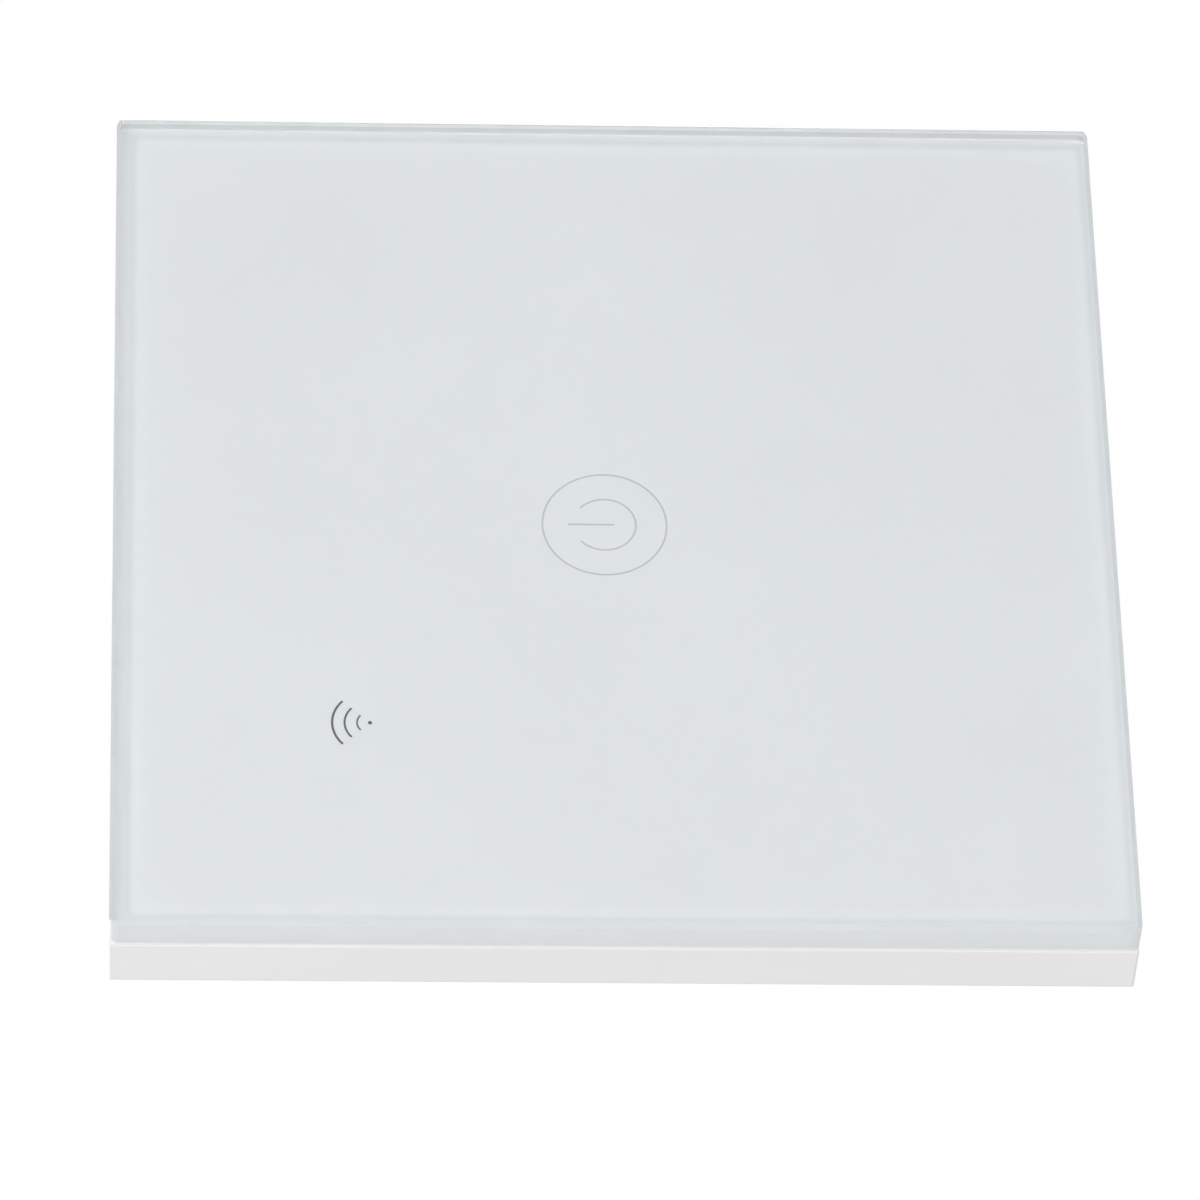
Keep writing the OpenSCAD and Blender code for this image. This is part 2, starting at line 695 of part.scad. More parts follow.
module base_plate() {
  rib_from = touch_s / 2 + part_gap;
  rib_l = (rim_in_w + rim_wall) / 2 - rib_from;
  pad_at = (touch_s - touch_pad) / 2;
  color("whitesmoke")
    upright()
      difference() {
        union() {
          difference() {
            union() {
              slab(plate_w, plate_w, 0, plate_t, plate_corner_r);
              difference() {
                slab(plate_w, plate_w, 0, rim_z, plate_corner_r);
                slab(rim_in_w, rim_in_w, plate_t, rim_z + cut, plate_corner_r / 2);
              }
              for (turn = quarters, s = sides)
                rotate(turn)
                  translate([rib_from, s * plate_rib_at - plate_rib_t / 2, plate_t / 2])
                    cube([rib_l, plate_rib_t, plate_t / 2 + plate_rib_h]);
              for (x = sides, y = sides)
                translate([x * pad_at, y * pad_at, 0])
                  block(touch_pad, touch_pad, plate_t / 2, touch_back_z);
              translate([touch_hole_at, -touch_hole_at, plate_t / 2])
                cylinder(r = touch_screw_r, h = touch_front_z - plate_t / 2);
            }
            cut_square(house_s + 2 * seat_gap, house_chamfer, -cut, seat_depth);
            block(window_l, window_w, -cut, touch_front_z);
            block(window_w, window_l, -cut, touch_front_z);
          }
          for (x = sides, y = sides)
            translate([x * column_at, y * column_at, push_gap - column_l])
              cylinder(r = column_r, h = column_l - push_gap + plate_t);
          for (p = posts_at)
            translate([p[0], p[1], main_front_z])
              cylinder(r = post_r, h = plate_t - main_front_z);
        }
        for (x = sides, y = sides)
          translate([x * column_at, y * column_at, -column_l - cut])
            cylinder(r = house_screw_r + fit_gap, h = house_screw_reach + 2 * cut);
        for (s = sides)
          translate([s * touch_hole_at, s * touch_hole_at, seat_depth])
            cylinder(r = touch_screw_r + fit_gap, h = touch_back_z);
        for (s = sides)
          translate([s * box_spacing / 2, 0, 0])
            slot(slot_l, slot_w, -cut, plate_t + cut);
      }
}

module panel_clips() {
  hook_l = rim_z - plate_t;
  color("silver")
    upright()
      for (x = [0, 180], y = sides)
        rotate(x)
          translate([0, y * clip_at, 0])
            difference() {
              union() {
                translate([plate_w / 2, -clip_w / 2, clip_bulge_z - clip_bulge_r - clip_t])
                  cube([clip_t, clip_w, rim_z + 2 * clip_t - clip_bulge_z + clip_bulge_r]);
                translate([plate_w / 2 - rim_wall - clip_t, -clip_w / 2, rim_z])
                  cube([rim_wall + 2 * clip_t, clip_w, clip_t]);
                translate([plate_w / 2 - rim_wall - clip_t, -clip_w / 2, plate_t])
                  cube([clip_t, clip_w, hook_l + clip_t]);
                translate([clip_bulge_x, 0, clip_bulge_z])
                  clip_bulge(clip_bulge_r, clip_w);
              }
              translate([clip_bulge_x, 0, clip_bulge_z])
                clip_bulge(clip_bulge_r - clip_t, clip_w + cut);
              translate([plate_w / 2 - rim_wall, -clip_w, clip_bulge_z - 2 * clip_bulge_r])
                cube([rim_wall, 2 * clip_w, rim_z - clip_bulge_z + 2 * clip_bulge_r]);
              translate([plate_w / 2 - 2 * rim_wall, -clip_w, clip_bulge_z - 2 * clip_bulge_r])
                cube([2 * rim_wall, 2 * clip_w, 2 * clip_bulge_r]);
            }
}

// Touch board

module touch_board() {
  color("seagreen")
    upright()
      difference() {
        slab(touch_s, touch_s, touch_back_z, touch_front_z, touch_inset / 2);
        for (x = sides, y = sides)
          if (x == y || y < 0 || x > 0)
            translate([x * touch_hole_at, y * touch_hole_at, touch_back_z - cut])
              cylinder(r = touch_screw_r + push_gap, h = touch_t + 2 * cut);
      }
}

module touch_board_screws() {
  color("silver")
    upright()
      for (s = sides)
        translate([s * touch_hole_at, s * touch_hole_at, 0])
          difference() {
            union() {
              translate([0, 0, touch_front_z])
                cylinder(r = touch_head_r, h = touch_head_h);
              translate([0, 0, seat_depth + fit_gap])
                cylinder(r = touch_screw_r, h = touch_front_z - seat_depth);
            }
            block(2 * touch_head_r, driver_w, touch_front_z + touch_head_h / 2, face_z);
          }
}

function out_dir(a) = [cos(a), sin(a), 0];
function turn_dir(a) = [-sin(a), cos(a), 0];
up_dir = [0, 0, 1];
function winding_point(i) =
  (spring_r + spring_step * i / spring_rings) * out_dir(spring_phase + 360 * i / spring_rings)
  + (spring_winding_z + spring_rise * i / spring_steps) * up_dir;
spring_end = winding_point(spring_steps);

// Stations along the spring: a point, the direction of travel and the outward direction.
spring_foot = [
  for (k = [0, 1])
    [[spring_r, 0, touch_front_z + k * spring_wire], up_dir, out_dir(0)]
];
spring_foot_bend = [
  for (k = [1:spring_bend_rings - 1])
    let (b = 90 * k / spring_bend_rings)
      [
        [spring_r, spring_bend * (1 - cos(b)), touch_front_z + spring_wire + spring_bend * sin(b)],
        sin(b) * turn_dir(0) + cos(b) * up_dir,
        out_dir(0)
      ]
];
spring_winding = [
  for (i = [0:spring_steps])
    let (a = spring_phase + 360 * i / spring_rings)
      [winding_point(i), turn_dir(a), out_dir(a)]
];
spring_tip_bend = [
  for (k = [1:spring_bend_rings])
    let (b = 90 * k / spring_bend_rings)
      [
        spring_end + spring_bend * sin(b) * turn_dir(spring_end_angle)
          + spring_bend * (1 - cos(b)) * up_dir,
        cos(b) * turn_dir(spring_end_angle) + sin(b) * up_dir,
        out_dir(spring_end_angle)
      ]
];
spring_bend_end = spring_tip_bend[len(spring_tip_bend) - 1];
spring_tip = [
  [spring_bend_end[0] + spring_wire * up_dir, up_dir, out_dir(spring_end_angle)]
];
spring_path = concat(spring_foot, spring_foot_bend, spring_winding, spring_tip_bend, spring_tip);

// Least gap between one turn of the spring and the next, on the path's points.
spring_self_gap = min([
  for (i = [0:len(spring_path) - 1], j = [0:len(spring_path) - 1])
    if (j - i > spring_rings / 2)
      norm(spring_path[j][0] - spring_path[i][0])
]) - spring_wire;
echo(spring_self_gap = spring_self_gap);

module wire_tube(path, r, n) {
  points = [
    for (s = path, k = [0:n - 1])
      s[0] + r * (cos(360 * k / n) * s[2] + sin(360 * k / n) * cross(s[1], s[2]))
  ];
  last = (len(path) - 1) * n;
  walls = [
    for (i = [0:len(path) - 2], k = [0:n - 1])
      let (a = i * n + k, b = i * n + (k + 1) % n)
        each [[a, b + n, b], [a, a + n, b + n]]
  ];
  start = [for (k = [1:n - 2]) [0, k, k + 1]];
  end = [for (k = [1:n - 2]) [last, last + k + 1, last + k]];
  polyhedron(points, concat(walls, start, end));
}

module touch_spring() {
  color("gold")
    upright()
      wire_tube(spring_path, spring_wire / 2, spring_sides);
}

// A cup that stands over a lamp and lights an icon.
module light_guide(r) {
  difference() {
    translate([0, 0, touch_front_z])
      cylinder(r = r, h = print_z - guide_gap - touch_front_z);
    translate([0, 0, touch_front_z - cut])
      cylinder(r = r - guide_wall, h = print_z - guide_gap - guide_wall - touch_front_z + cut);
  }
}

module icon_light_guide() {
  color("ghostwhite")
    upright()
      light_guide(icon_guide_r);
}

module signal_light_guide() {
  color("ghostwhite")
    upright()
      translate([-signal_at, signal_at, 0])
        light_guide(signal_guide_r);
}

module status_lamps() {
  color("lightyellow")
    upright()
      for (p = [[-lamp_at, 0], [lamp_at, 0], [-signal_at, signal_at]])
        translate([p[0], p[1], 0]) {
          block(lamp_l, lamp_w, touch_front_z, touch_front_z + lamp_h / 2);
          block(lamp_l / 2, lamp_w, touch_front_z, touch_front_z + lamp_h);
        }
}

// A flat chip with bent legs, standing on z = 0.
module leg_chip(pins) {
  leg_w = 0.4;
  leg_t = 0.2;
  pitch = chip_l / pins;
  block(chip_l, chip_w, leg_t / 2, chip_h);
  for (s = [0, 180], i = [0:pins - 1])
    rotate(s)
      translate([(i - (pins - 1) / 2) * pitch - leg_w / 2, chip_w / 2, 0]) {
        cube([leg_w, chip_leg, leg_t]);
        cube([leg_w, leg_t, chip_h / 2]);
      }
}

module touch_chip() {
  color("dimgray")
    upright()
      translate([0, -link_at / 3, touch_back_z])
        mirror([0, 0, 1])
          leg_chip(chip_pins);
}

module radio_board() {
  color("midnightblue")
    upright()
      translate([0, radio_at, 0])
        block(radio_l, radio_w, touch_back_z - radio_t, touch_back_z);
}

module radio_shield() {
  shield_z = touch_back_z - radio_t;
  color("silver")
    upright()
      translate([(radio_l - shield_l) / 2 - part_gap, radio_at, 0])
        slab(shield_l, shield_w, shield_z - shield_h, shield_z, part_gap / 2);
}

link_l = link_n * link_pitch;
header_z = touch_back_z - header_h;
link_xs = [for (i = [0:link_n - 1]) (i - (link_n - 1) / 2) * link_pitch];

module link_header() {
  color("black")
    upright()
      translate([0, -link_at, 0])
        difference() {
          block(link_l, link_w, header_z, touch_back_z);
          for (x = link_xs)
            translate([x, 0, header_z - cut])
              cylinder(r = link_pin_r + fit_gap, h = header_h + cut - fit_gap);
        }
}

module link_pins() {
  color("gold")
    upright()
      for (x = link_xs)
        translate([x, -link_at, header_z - link_reach])
          cylinder(r = link_pin_r, h = link_reach + header_h - 2 * fit_gap);
}

module link_socket() {
  color("black")
    upright()
      translate([0, -link_at, 0])
        difference() {
          block(link_l, link_w, main_front_z, header_z);
          for (x = link_xs)
            translate([x, 0, header_z - link_reach - 2 * fit_gap])
              cylinder(r = link_pin_r + fit_gap, h = link_reach + cut);
        }
}

// Main board

module main_board() {
  color("darkgreen")
    upright()
      difference() {
        cut_square(board_s, board_chamfer, main_back_z, main_front_z);
        for (x = sides, y = sides)
          translate([x * column_at, y * column_at, main_back_z - cut])
            cylinder(r = socket_bore_r, h = main_t + 2 * cut);
        for (p = main_leads)
          translate([p[0], p[1], main_back_z - cut])
            cylinder(r = lead_r + fit_gap, h = main_t + 2 * cut);
      }
}

// Leads that pass the board from a given height, at a list of places.
module leads(places, top) {
  for (p = places)
    translate([p[0], p[1], -main_t - lead_tail])
      cylinder(r = lead_r, h = main_t + lead_tail + top);
}

// Relay

module relay_base() {
  color("black")
    behind_board(relay_x, row_b_y)
      difference() {
        block(relay_in_l - 2 * fit_gap, relay_in_w - 2 * fit_gap, 0, relay_base_t);
        for (p = concat(relay_pins_at, [relay_contact_at]))
          translate([p[0], p[1], -cut])
            cylinder(r = lead_r + fit_gap, h = relay_base_t + 2 * cut);
      }
}

module relay_pins() {
  color("silver")
    behind_board(relay_x, row_b_y)
      leads(relay_pins_at, relay_base_t);
}

module relay_yoke() {
  foot_l = relay_coil_x + relay_coil_r / 2 - yoke_x;
  color("slategray")
    behind_board(relay_x, row_b_y) {
      translate([yoke_x, -yoke_w / 2, relay_base_t])
        cube([foot_l, yoke_w, yoke_t]);
      translate([yoke_x, -yoke_w / 2, relay_base_t])
        cube([yoke_t, yoke_w, pole_u - relay_base_t]);
      translate([relay_coil_x, 0, relay_base_t])
        cylinder(r = core_r, h = pole_u - relay_base_t);
    }
}

module relay_bobbin() {
  tube_r = core_r + fit_gap + bobbin_t;
  color("ivory")
    behind_board(relay_x, row_b_y)
      translate([relay_coil_x, 0, bobbin_u])
        rotate_extrude()
          polygon([
            [core_r + fit_gap, 0],
            [relay_flange_r, 0],
            [relay_flange_r, bobbin_t],
            [tube_r, bobbin_t],
            [tube_r, bobbin_h - bobbin_t],
            [relay_flange_r, bobbin_h - bobbin_t],
            [relay_flange_r, bobbin_h],
            [core_r + fit_gap, bobbin_h]
          ]);
}

module relay_winding() {
  tube_r = core_r + fit_gap + bobbin_t;
  color("peru")
    behind_board(relay_x, row_b_y)
      translate([relay_coil_x, 0, bobbin_u + bobbin_t])
        difference() {
          cylinder(r = relay_coil_r, h = bobbin_h - 2 * bobbin_t);
          translate([0, 0, -cut])
            cylinder(r = tube_r + fit_gap, h = bobbin_h + 2 * cut);
        }
}

// Holds the armature open: it swings about its round end, which rests on the yoke.
module swung_open() {
  behind_board(relay_x, row_b_y)
    translate([pivot_x, 0, pole_u + pivot_gap + armature_t / 2])
      rotate([0, -armature_swing, 0])
        children();
}

module relay_armature() {
  armature_l = relay_coil_x + core_r + part_gap / 2 - pivot_x;
  color("slategray")
    swung_open() {
      rotate([90, 0, 0])
        cylinder(d = armature_t, h = yoke_w, center = true);
      translate([0, -yoke_w / 2, -armature_t / 2])
        cube([armature_l, yoke_w, armature_t]);
    }
}

module relay_contact_blade() {
  blade_start = armature_t / 2;
  color("goldenrod")
    swung_open() {
      translate([blade_start, -blade_w / 2, armature_t / 2])
        cube([blade_l - blade_start, blade_w, blade_t]);
      translate([contact_x - pivot_x, 0, armature_t / 2 - rivet_h])
        cylinder(r = rivet_r, h = rivet_h + blade_t / 2);
    }
}

module relay_fixed_contact() {
  post_t = 2 * lead_r;
  color("goldenrod")
    behind_board(relay_x, row_b_y) {
      translate([contact_x, 0, 0]) {
        block(post_t, blade_w, relay_base_t, fixed_top_u - rivet_h / 2);
        translate([0, 0, fixed_top_u - rivet_h])
          cylinder(r = rivet_r, h = rivet_h);
      }
      leads([relay_contact_at], relay_base_t + lead_r);
    }
}

module relay_case() {
  color("dodgerblue")
    behind_board(relay_x, row_b_y)
      difference() {
        slab(relay_l, relay_w, 0, relay_h, relay_wall);
        block(relay_in_l, relay_in_w, -cut, relay_h - relay_wall);
      }
}

// Supply parts

module transformer_core() {
  color("dimgray")
    behind_board(trafo_x, row_b_y)
      difference() {
        block(trafo_l, trafo_core_d, trafo_lift, trafo_h);
        for (s = sides)
          translate([s * (trafo_mid_w + trafo_window_w) / 2, 0, 0])
            block(trafo_window_w, trafo_w, trafo_window_u, trafo_window_u + trafo_window_h);
      }
}

module transformer_bobbin() {
  low = trafo_window_u + trafo_gap;
  high = trafo_window_u + trafo_window_h - trafo_gap;
  color("black")
    behind_board(trafo_x, row_b_y) {
      difference() {
        union() {
          block(trafo_flange_w, trafo_w, low, low + trafo_flange_t);
          block(trafo_flange_w, trafo_w, high - trafo_flange_t, high);
          block(trafo_tube_w, trafo_tube_d, low, high);
          for (s = sides)
            translate([0, s * trafo_rail_y, 0])
              block(trafo_flange_w, trafo_rail_d, 0, low + trafo_flange_t);
        }
        block(trafo_mid_w + 2 * trafo_gap, trafo_core_d + 2 * trafo_gap, low - cut, high + cut);
      }
      leads(trafo_pins_at, trafo_lift);
    }
}

module transformer_winding() {
  low = trafo_window_u + trafo_gap + trafo_flange_t;
  high = trafo_window_u + trafo_window_h - trafo_gap - trafo_flange_t;
  color("khaki")
    behind_board(trafo_x, row_b_y)
      difference() {
        slab(trafo_flange_w - 2 * trafo_gap, trafo_w - 2 * trafo_gap, low, high, trafo_flange_t);
        block(trafo_tube_w + 2 * trafo_gap, trafo_tube_d + 2 * trafo_gap, low - cut, high + cut);
      }
}

// A standing capacitor: a can with a rolled groove near its foot.
module can(d, h) {
  groove = d / 24;
  rotate_extrude()
    polygon([
      [0, 0],
      [d / 2 - groove, 0],
      [d / 2, groove],
      [d / 2, 4 * groove],
      [d / 2 - groove, 5 * groove],
      [d / 2, 6 * groove],
      [d / 2, h - groove],
      [d / 2 - groove, h],
      [0, h]
    ]);
}

module bulk_capacitor() {
  color("midnightblue")
    behind_board() {
      translate([bulk_x, row_b_y, 0])
        can(bulk_d, bulk_h);
      leads(pair(bulk_x, row_b_y, bulk_d / 2), lead_r);
    }
}

module output_capacitor() {
  color("midnightblue")
    behind_board() {
      translate([output_x, row_d_y, 0])
        can(output_d, output_h);
      leads(pair(output_x, row_d_y, output_d / 2), lead_r);
    }
}

module film_capacitor() {
  color("gold")
    behind_board() {
      translate([film_x, row_d_y, 0])
        slab(film_l, film_w, 0, film_h, film_w / 12);
      leads(pair(film_x, row_d_y, film_l * 3 / 4), lead_r);
    }
}

module varistor() {
  disc_u = varistor_d / 2 + edge_gap;
  color("royalblue")
    behind_board() {
      translate([varistor_x, row_c_y, disc_u])
        rotate([90, 0, 0])
          cylinder(d = varistor_d, h = varistor_t, center = true);
      leads(pair(varistor_x, row_c_y, varistor_d / 2), disc_u);
    }
}

module fuse() {
  color("saddlebrown")
    behind_board() {
      translate([fuse_x, row_c_y, 0])
        cylinder(d = fuse_d, h = fuse_h);
      leads(pair(fuse_x, row_c_y, fuse_d / 2), lead_r);
    }
}

choke_flange_t = 1;
choke_mid_r = choke_d / 5;

module choke_core() {
  color("dimgray")
    behind_board() {
      translate([choke_x, row_c_y, 0])
        rotate_extrude()
          polygon([
            [0, 0],
            [choke_d / 2, 0],
            [choke_d / 2, choke_flange_t],
            [choke_mid_r, choke_flange_t],
            [choke_mid_r, choke_h - choke_flange_t],
            [choke_d / 2, choke_h - choke_flange_t],
            [choke_d / 2, choke_h],
            [0, choke_h]
          ]);
      leads(pair(choke_x, row_c_y, choke_d / 2), lead_r);
    }
}

module choke_winding() {
  color("peru")
    behind_board(choke_x, row_c_y)
      difference() {
        translate([0, 0, choke_flange_t])
          cylinder(r = choke_d / 2 - 2 * push_gap, h = choke_h - 2 * choke_flange_t);
        cylinder(r = choke_mid_r + fit_gap, h = choke_h);
      }
}

module bridge_rectifier() {
  color("dimgray")
    behind_board(bridge_x, row_c_y)
      leg_chip(bridge_pins);
}

module power_chip() {
  color("dimgray")
    behind_board(power_x, row_c_y)
      leg_chip(chip_pins);
}

// Terminals

// Draws at one terminal, with y running inwards from the wire face.
module at_pole(i) {
  behind_board(pole_x(i), term_y)
    children();
}

module terminal_bodies() {
  color("forestgreen")
    for (i = [0:pole_n - 1])
      at_pole(i)
        difference() {
          translate([-term_w / 2, 0, 0])
            cube([term_w, term_l, term_h]);
          translate([-shaft_w / 2, term_wall, -cut])
            cube([shaft_w, shaft_l, ledge_u + cut]);
          translate([0, clamp_at, 0])
            cylinder(r = clamp_screw_r + turn_gap, h = term_h);
          translate([0, clamp_at, clamp_head_u])
            cylinder(r = clamp_head_r + turn_gap, h = term_h);
          translate([0, -cut, wire_u])
            rotate([-90, 0, 0])
              cylinder(r = wire_r, h = term_wall + 2 * cut);
        }
}

module terminal_tongues() {
  color("goldenrod")
    for (i = [0:pole_n - 1])
      at_pole(i) {
        translate([-tongue_w / 2, cage_at, tongue_u])
          cube([tongue_w, leg_at - cage_at + tongue_leg_t, tongue_t]);
        translate([-tongue_w / 2, leg_at, 0])
          cube([tongue_w, tongue_leg_t, tongue_u + tongue_t]);
        leads([[0, leg_at + tongue_leg_t / 2]], tongue_u);
      }
}

module terminal_cage(i) {
  color("silver")
    at_pole(i)
      difference() {
        translate([-cage_w / 2, cage_at, clamp_floor])
          cube([cage_w, cage_l, cage_h]);
        translate([cage_t - cage_w / 2, cage_at - cut, clamp_floor + cage_t])
          cube([cage_w - 2 * cage_t, cage_l + 2 * cut, nut_u - clamp_floor - cage_t]);
        translate([0, clamp_at, nut_u - cut])
          cylinder(r = clamp_screw_r + turn_gap, h = cage_nut_t + 2 * cut);
      }
}

module terminal_screw(i) {
  tip_u = tongue_u + tongue_t + fit_gap;
  head_u = clamp_head_u + fit_gap;
  color("silver")
    at_pole(i)
      translate([0, clamp_at, 0])
        difference() {
          union() {
            translate([0, 0, tip_u])
              cylinder(r = clamp_screw_r, h = head_u - tip_u + clamp_head_h / 2);
            translate([0, 0, head_u])
              cylinder(r = clamp_head_r, h = clamp_head_h);
          }
          block(3 * clamp_head_r, driver_w, head_u + clamp_head_h / 2, term_h + cut);
        }
}

// Rear housing

module house_outer() {
  back_w = house_s - 2 * house_draft;
  keep_sides(back_w, house_s, house_back_z, seat_depth, house_bevel, house_lip)
    cut_square(house_s, house_chamfer, house_back_z, seat_depth);
}

// Slots that let warm air out of the housing's back and sides.
module house_vents() {
  field_h = vent_n * vent_pitch + vent_w;
  side_z = (main_back_z + house_back_z) / 2;
  translate([0, vent_mid_y, 0]) {
    slab(vent_l + 2 * vent_w, field_h, house_back_z - cut, house_back_z + field_depth, vent_w);
    for (i = [0:vent_n - 1])
      translate([0, (i - (vent_n - 1) / 2) * vent_pitch, 0])
        slot(vent_l, vent_w, house_back_z - cut, house_back_z + house_wall + cut);
  }
  for (s = sides, i = [0:side_vent_n - 1])
    translate([s * house_s / 2, (i - (side_vent_n - 1) / 2) * vent_pitch, side_z])
      rotate([0, s * 90, 0])
        slot(side_vent_l, vent_w, -house_wall - cut, cut);
}

module rear_housing() {
  inner_s = house_s - 2 * house_wall;
  inner_chamfer = house_chamfer - (2 - sqrt(2)) * house_wall;
  bay_z = main_back_z - term_h + bay_lap;
  bay_h = bay_top_y + bay_wall + house_s / 2;
  notch_h = bay_top_y + house_s / 2 + cut;
  color("whitesmoke")
    upright()
      difference() {
        union() {
          difference() {
            house_outer();
            cut_square(inner_s, inner_chamfer, house_back_z + house_wall, seat_depth + cut);
          }
          intersection() {
            house_outer();
            union() {
              for (x = sides, y = sides)
                translate([x * column_at, y * column_at, house_back_z])
                  cylinder(r = socket_r, h = main_back_z - house_back_z);
              translate([0, bay_h / 2 - house_s / 2, 0])
                block(bay_w + 2 * bay_wall, bay_h, house_back_z, bay_z);
            }
          }
        }
        for (x = sides, y = sides)
          translate([x * column_at, y * column_at, 0]) {
            translate([0, 0, -column_l])
              cylinder(r = socket_bore_r, h = column_l);
            translate([0, 0, -column_l - socket_floor - cut])
              cylinder(r = house_screw_r + push_gap, h = socket_floor + 2 * cut);
            translate([0, 0, house_back_z - cut])
              cylinder(r = head_bore_r, h = -column_l - socket_floor - house_back_z + cut);
          }
        translate([0, notch_h / 2 - house_s / 2 - cut, 0])
          block(bay_w, notch_h, house_back_z - cut, main_back_z + bay_gap);
        house_vents();
      }
}

module housing_screws() {
  head_z = -column_l - socket_floor;
  color("silver")
    upright()
      for (x = sides, y = sides)
        translate([x * column_at, y * column_at, 0])
          difference() {
            union() {
              translate([0, 0, head_z - house_head_h])
                cylinder(r = house_head_r, h = house_head_h);
              translate([0, 0, head_z - house_head_h / 2])
                cylinder(r = house_screw_r, h = house_head_h / 2 + socket_floor + house_screw_reach);
            }
            block(2 * house_screw_r, driver_w, head_z - house_head_h - cut, head_z - house_head_h / 2);
            block(driver_w, 2 * house_screw_r, head_z - house_head_h - cut, head_z - house_head_h / 2);
          }
}

glass_panel();
glass_print();
panel_tape();
panel_frame();
base_plate();
panel_clips();
touch_board();
touch_board_screws();
touch_spring();
icon_light_guide();
signal_light_guide();
status_lamps();
touch_chip();
radio_board();
radio_shield();
link_header();
link_pins();
link_socket();
main_board();
relay_base();
relay_pins();
relay_yoke();
relay_bobbin();
relay_winding();
relay_armature();
relay_contact_blade();
relay_fixed_contact();
relay_case();
transformer_core();
transformer_bobbin();
transformer_winding();
bulk_capacitor();
output_capacitor();
film_capacitor();
varistor();
fuse();
choke_core();
choke_winding();
bridge_rectifier();
power_chip();
terminal_bodies();
terminal_tongues();
terminal_cage(0);  // terminal_cage_live
terminal_cage(1);  // terminal_cage_neutral
terminal_cage(2);  // terminal_cage_lamp
terminal_screw(0);  // terminal_screw_live
terminal_screw(1);  // terminal_screw_neutral
terminal_screw(2);  // terminal_screw_lamp
rear_housing();
housing_screws();
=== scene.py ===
# %% [markdown]
# A touch light switch, dressed for its portrait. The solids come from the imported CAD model, which is a
# fixed frame here: every piece made below is placed in the same metres, so nothing has to be fitted by eye.
# The wall plane is y = 0, the glass looks along -y and z points up.

# %% Load the frame
import json
import math

import bmesh
import bpy
from mathutils import Matrix, Vector


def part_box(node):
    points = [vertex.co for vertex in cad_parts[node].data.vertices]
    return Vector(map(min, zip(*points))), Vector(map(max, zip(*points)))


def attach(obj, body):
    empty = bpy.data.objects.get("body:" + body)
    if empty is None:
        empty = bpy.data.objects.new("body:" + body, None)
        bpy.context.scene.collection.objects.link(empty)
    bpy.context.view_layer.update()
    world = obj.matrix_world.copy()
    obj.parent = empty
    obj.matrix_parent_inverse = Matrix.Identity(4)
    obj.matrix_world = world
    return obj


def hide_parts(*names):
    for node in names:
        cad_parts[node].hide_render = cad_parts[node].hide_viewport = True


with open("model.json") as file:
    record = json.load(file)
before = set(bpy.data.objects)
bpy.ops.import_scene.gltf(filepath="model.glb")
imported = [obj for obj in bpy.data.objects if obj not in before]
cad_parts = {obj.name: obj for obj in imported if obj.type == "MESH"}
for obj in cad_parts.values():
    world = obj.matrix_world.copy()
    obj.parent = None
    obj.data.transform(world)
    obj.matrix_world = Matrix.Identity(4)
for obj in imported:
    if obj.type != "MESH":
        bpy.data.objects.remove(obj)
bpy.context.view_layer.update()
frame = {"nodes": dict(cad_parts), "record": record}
nodes = frame["nodes"]
scene = bpy.context.scene
MM = 0.001

# %% [markdown]
# The photograph shows the switch lying on its back, turned a quarter so that its top points left. A lens is
# found by fitting the known square of the glass to its four edges in the picture. The same lens is set up
# here in the wall's frame, so the camera simply hangs sideways in front of the upright switch.

# %% Camera
lens_mm = 274.74
sensor_mm = 36.0
camera_at = Vector((-0.47031, -0.63653, 0.04207))
view_right = Vector((-0.02337, -0.04735, -0.99860))
view_up = Vector((0.80621, -0.59155, 0.00919))
view_back = view_right.cross(view_up)


def add_object(name, data):
    made = bpy.data.objects.new(name, data)
    scene.collection.objects.link(made)
    return made


camera_lens = bpy.data.cameras.new("photo_camera")
camera_lens.lens = lens_mm
camera_lens.sensor_width = sensor_mm
camera = add_object("photo_camera", camera_lens)
camera_turn = Matrix((view_right, view_up, view_back)).transposed()
camera.matrix_world = Matrix.Translation(camera_at) @ camera_turn.to_4x4()
scene.camera = camera
print("camera distance:", round(camera_at.length, 3))

# %% [markdown]
# Product pictures on white use a bright tent: soft light from everywhere. The world is white to the eye, in
# reflections and through glass, but lights the part at a lower level, so that lamps can model the form
# without any colour burning out. The Light Path node tells the two kinds of ray apart.

# %% White tent
soft_level = 0.56


def math_node(tree, operation, *values):
    node = tree.nodes.new("ShaderNodeMath")
    node.operation = operation
    for socket, value in zip(node.inputs, values):
        if isinstance(value, (int, float)):
            socket.default_value = value
        else:
            tree.links.new(value, socket)
    return node.outputs[0]


def seen_directly(tree):
    """1 for rays that show the background: to the eye, in a reflection or through glass."""
    path = tree.nodes.new("ShaderNodeLightPath")
    shown = path.outputs["Is Camera Ray"]
    for name in ("Is Glossy Ray", "Is Transmission Ray"):
        shown = math_node(tree, "MAXIMUM", shown, path.outputs[name])
    return shown


world = bpy.data.worlds.new("white_tent")
world.use_nodes = True
tent = world.node_tree
tent_light = tent.nodes["Background"]
tent_light.inputs["Color"].default_value = (1, 1, 1, 1)
brightness = math_node(tent, "MULTIPLY_ADD", seen_directly(tent), 1 - soft_level, soft_level)
tent.links.new(brightness, tent_light.inputs["Strength"])
scene.world = world
scene.view_settings.view_transform = "Standard"
print("tent level:", soft_level)

# %% [markdown]
# Three large round lamps give the form some direction: one in front, one beside the switch, and one behind
# it for the rear housing. A lamp that is large for its distance makes soft shadow edges, as in a studio.
# Each one is turned towards the middle of the part.

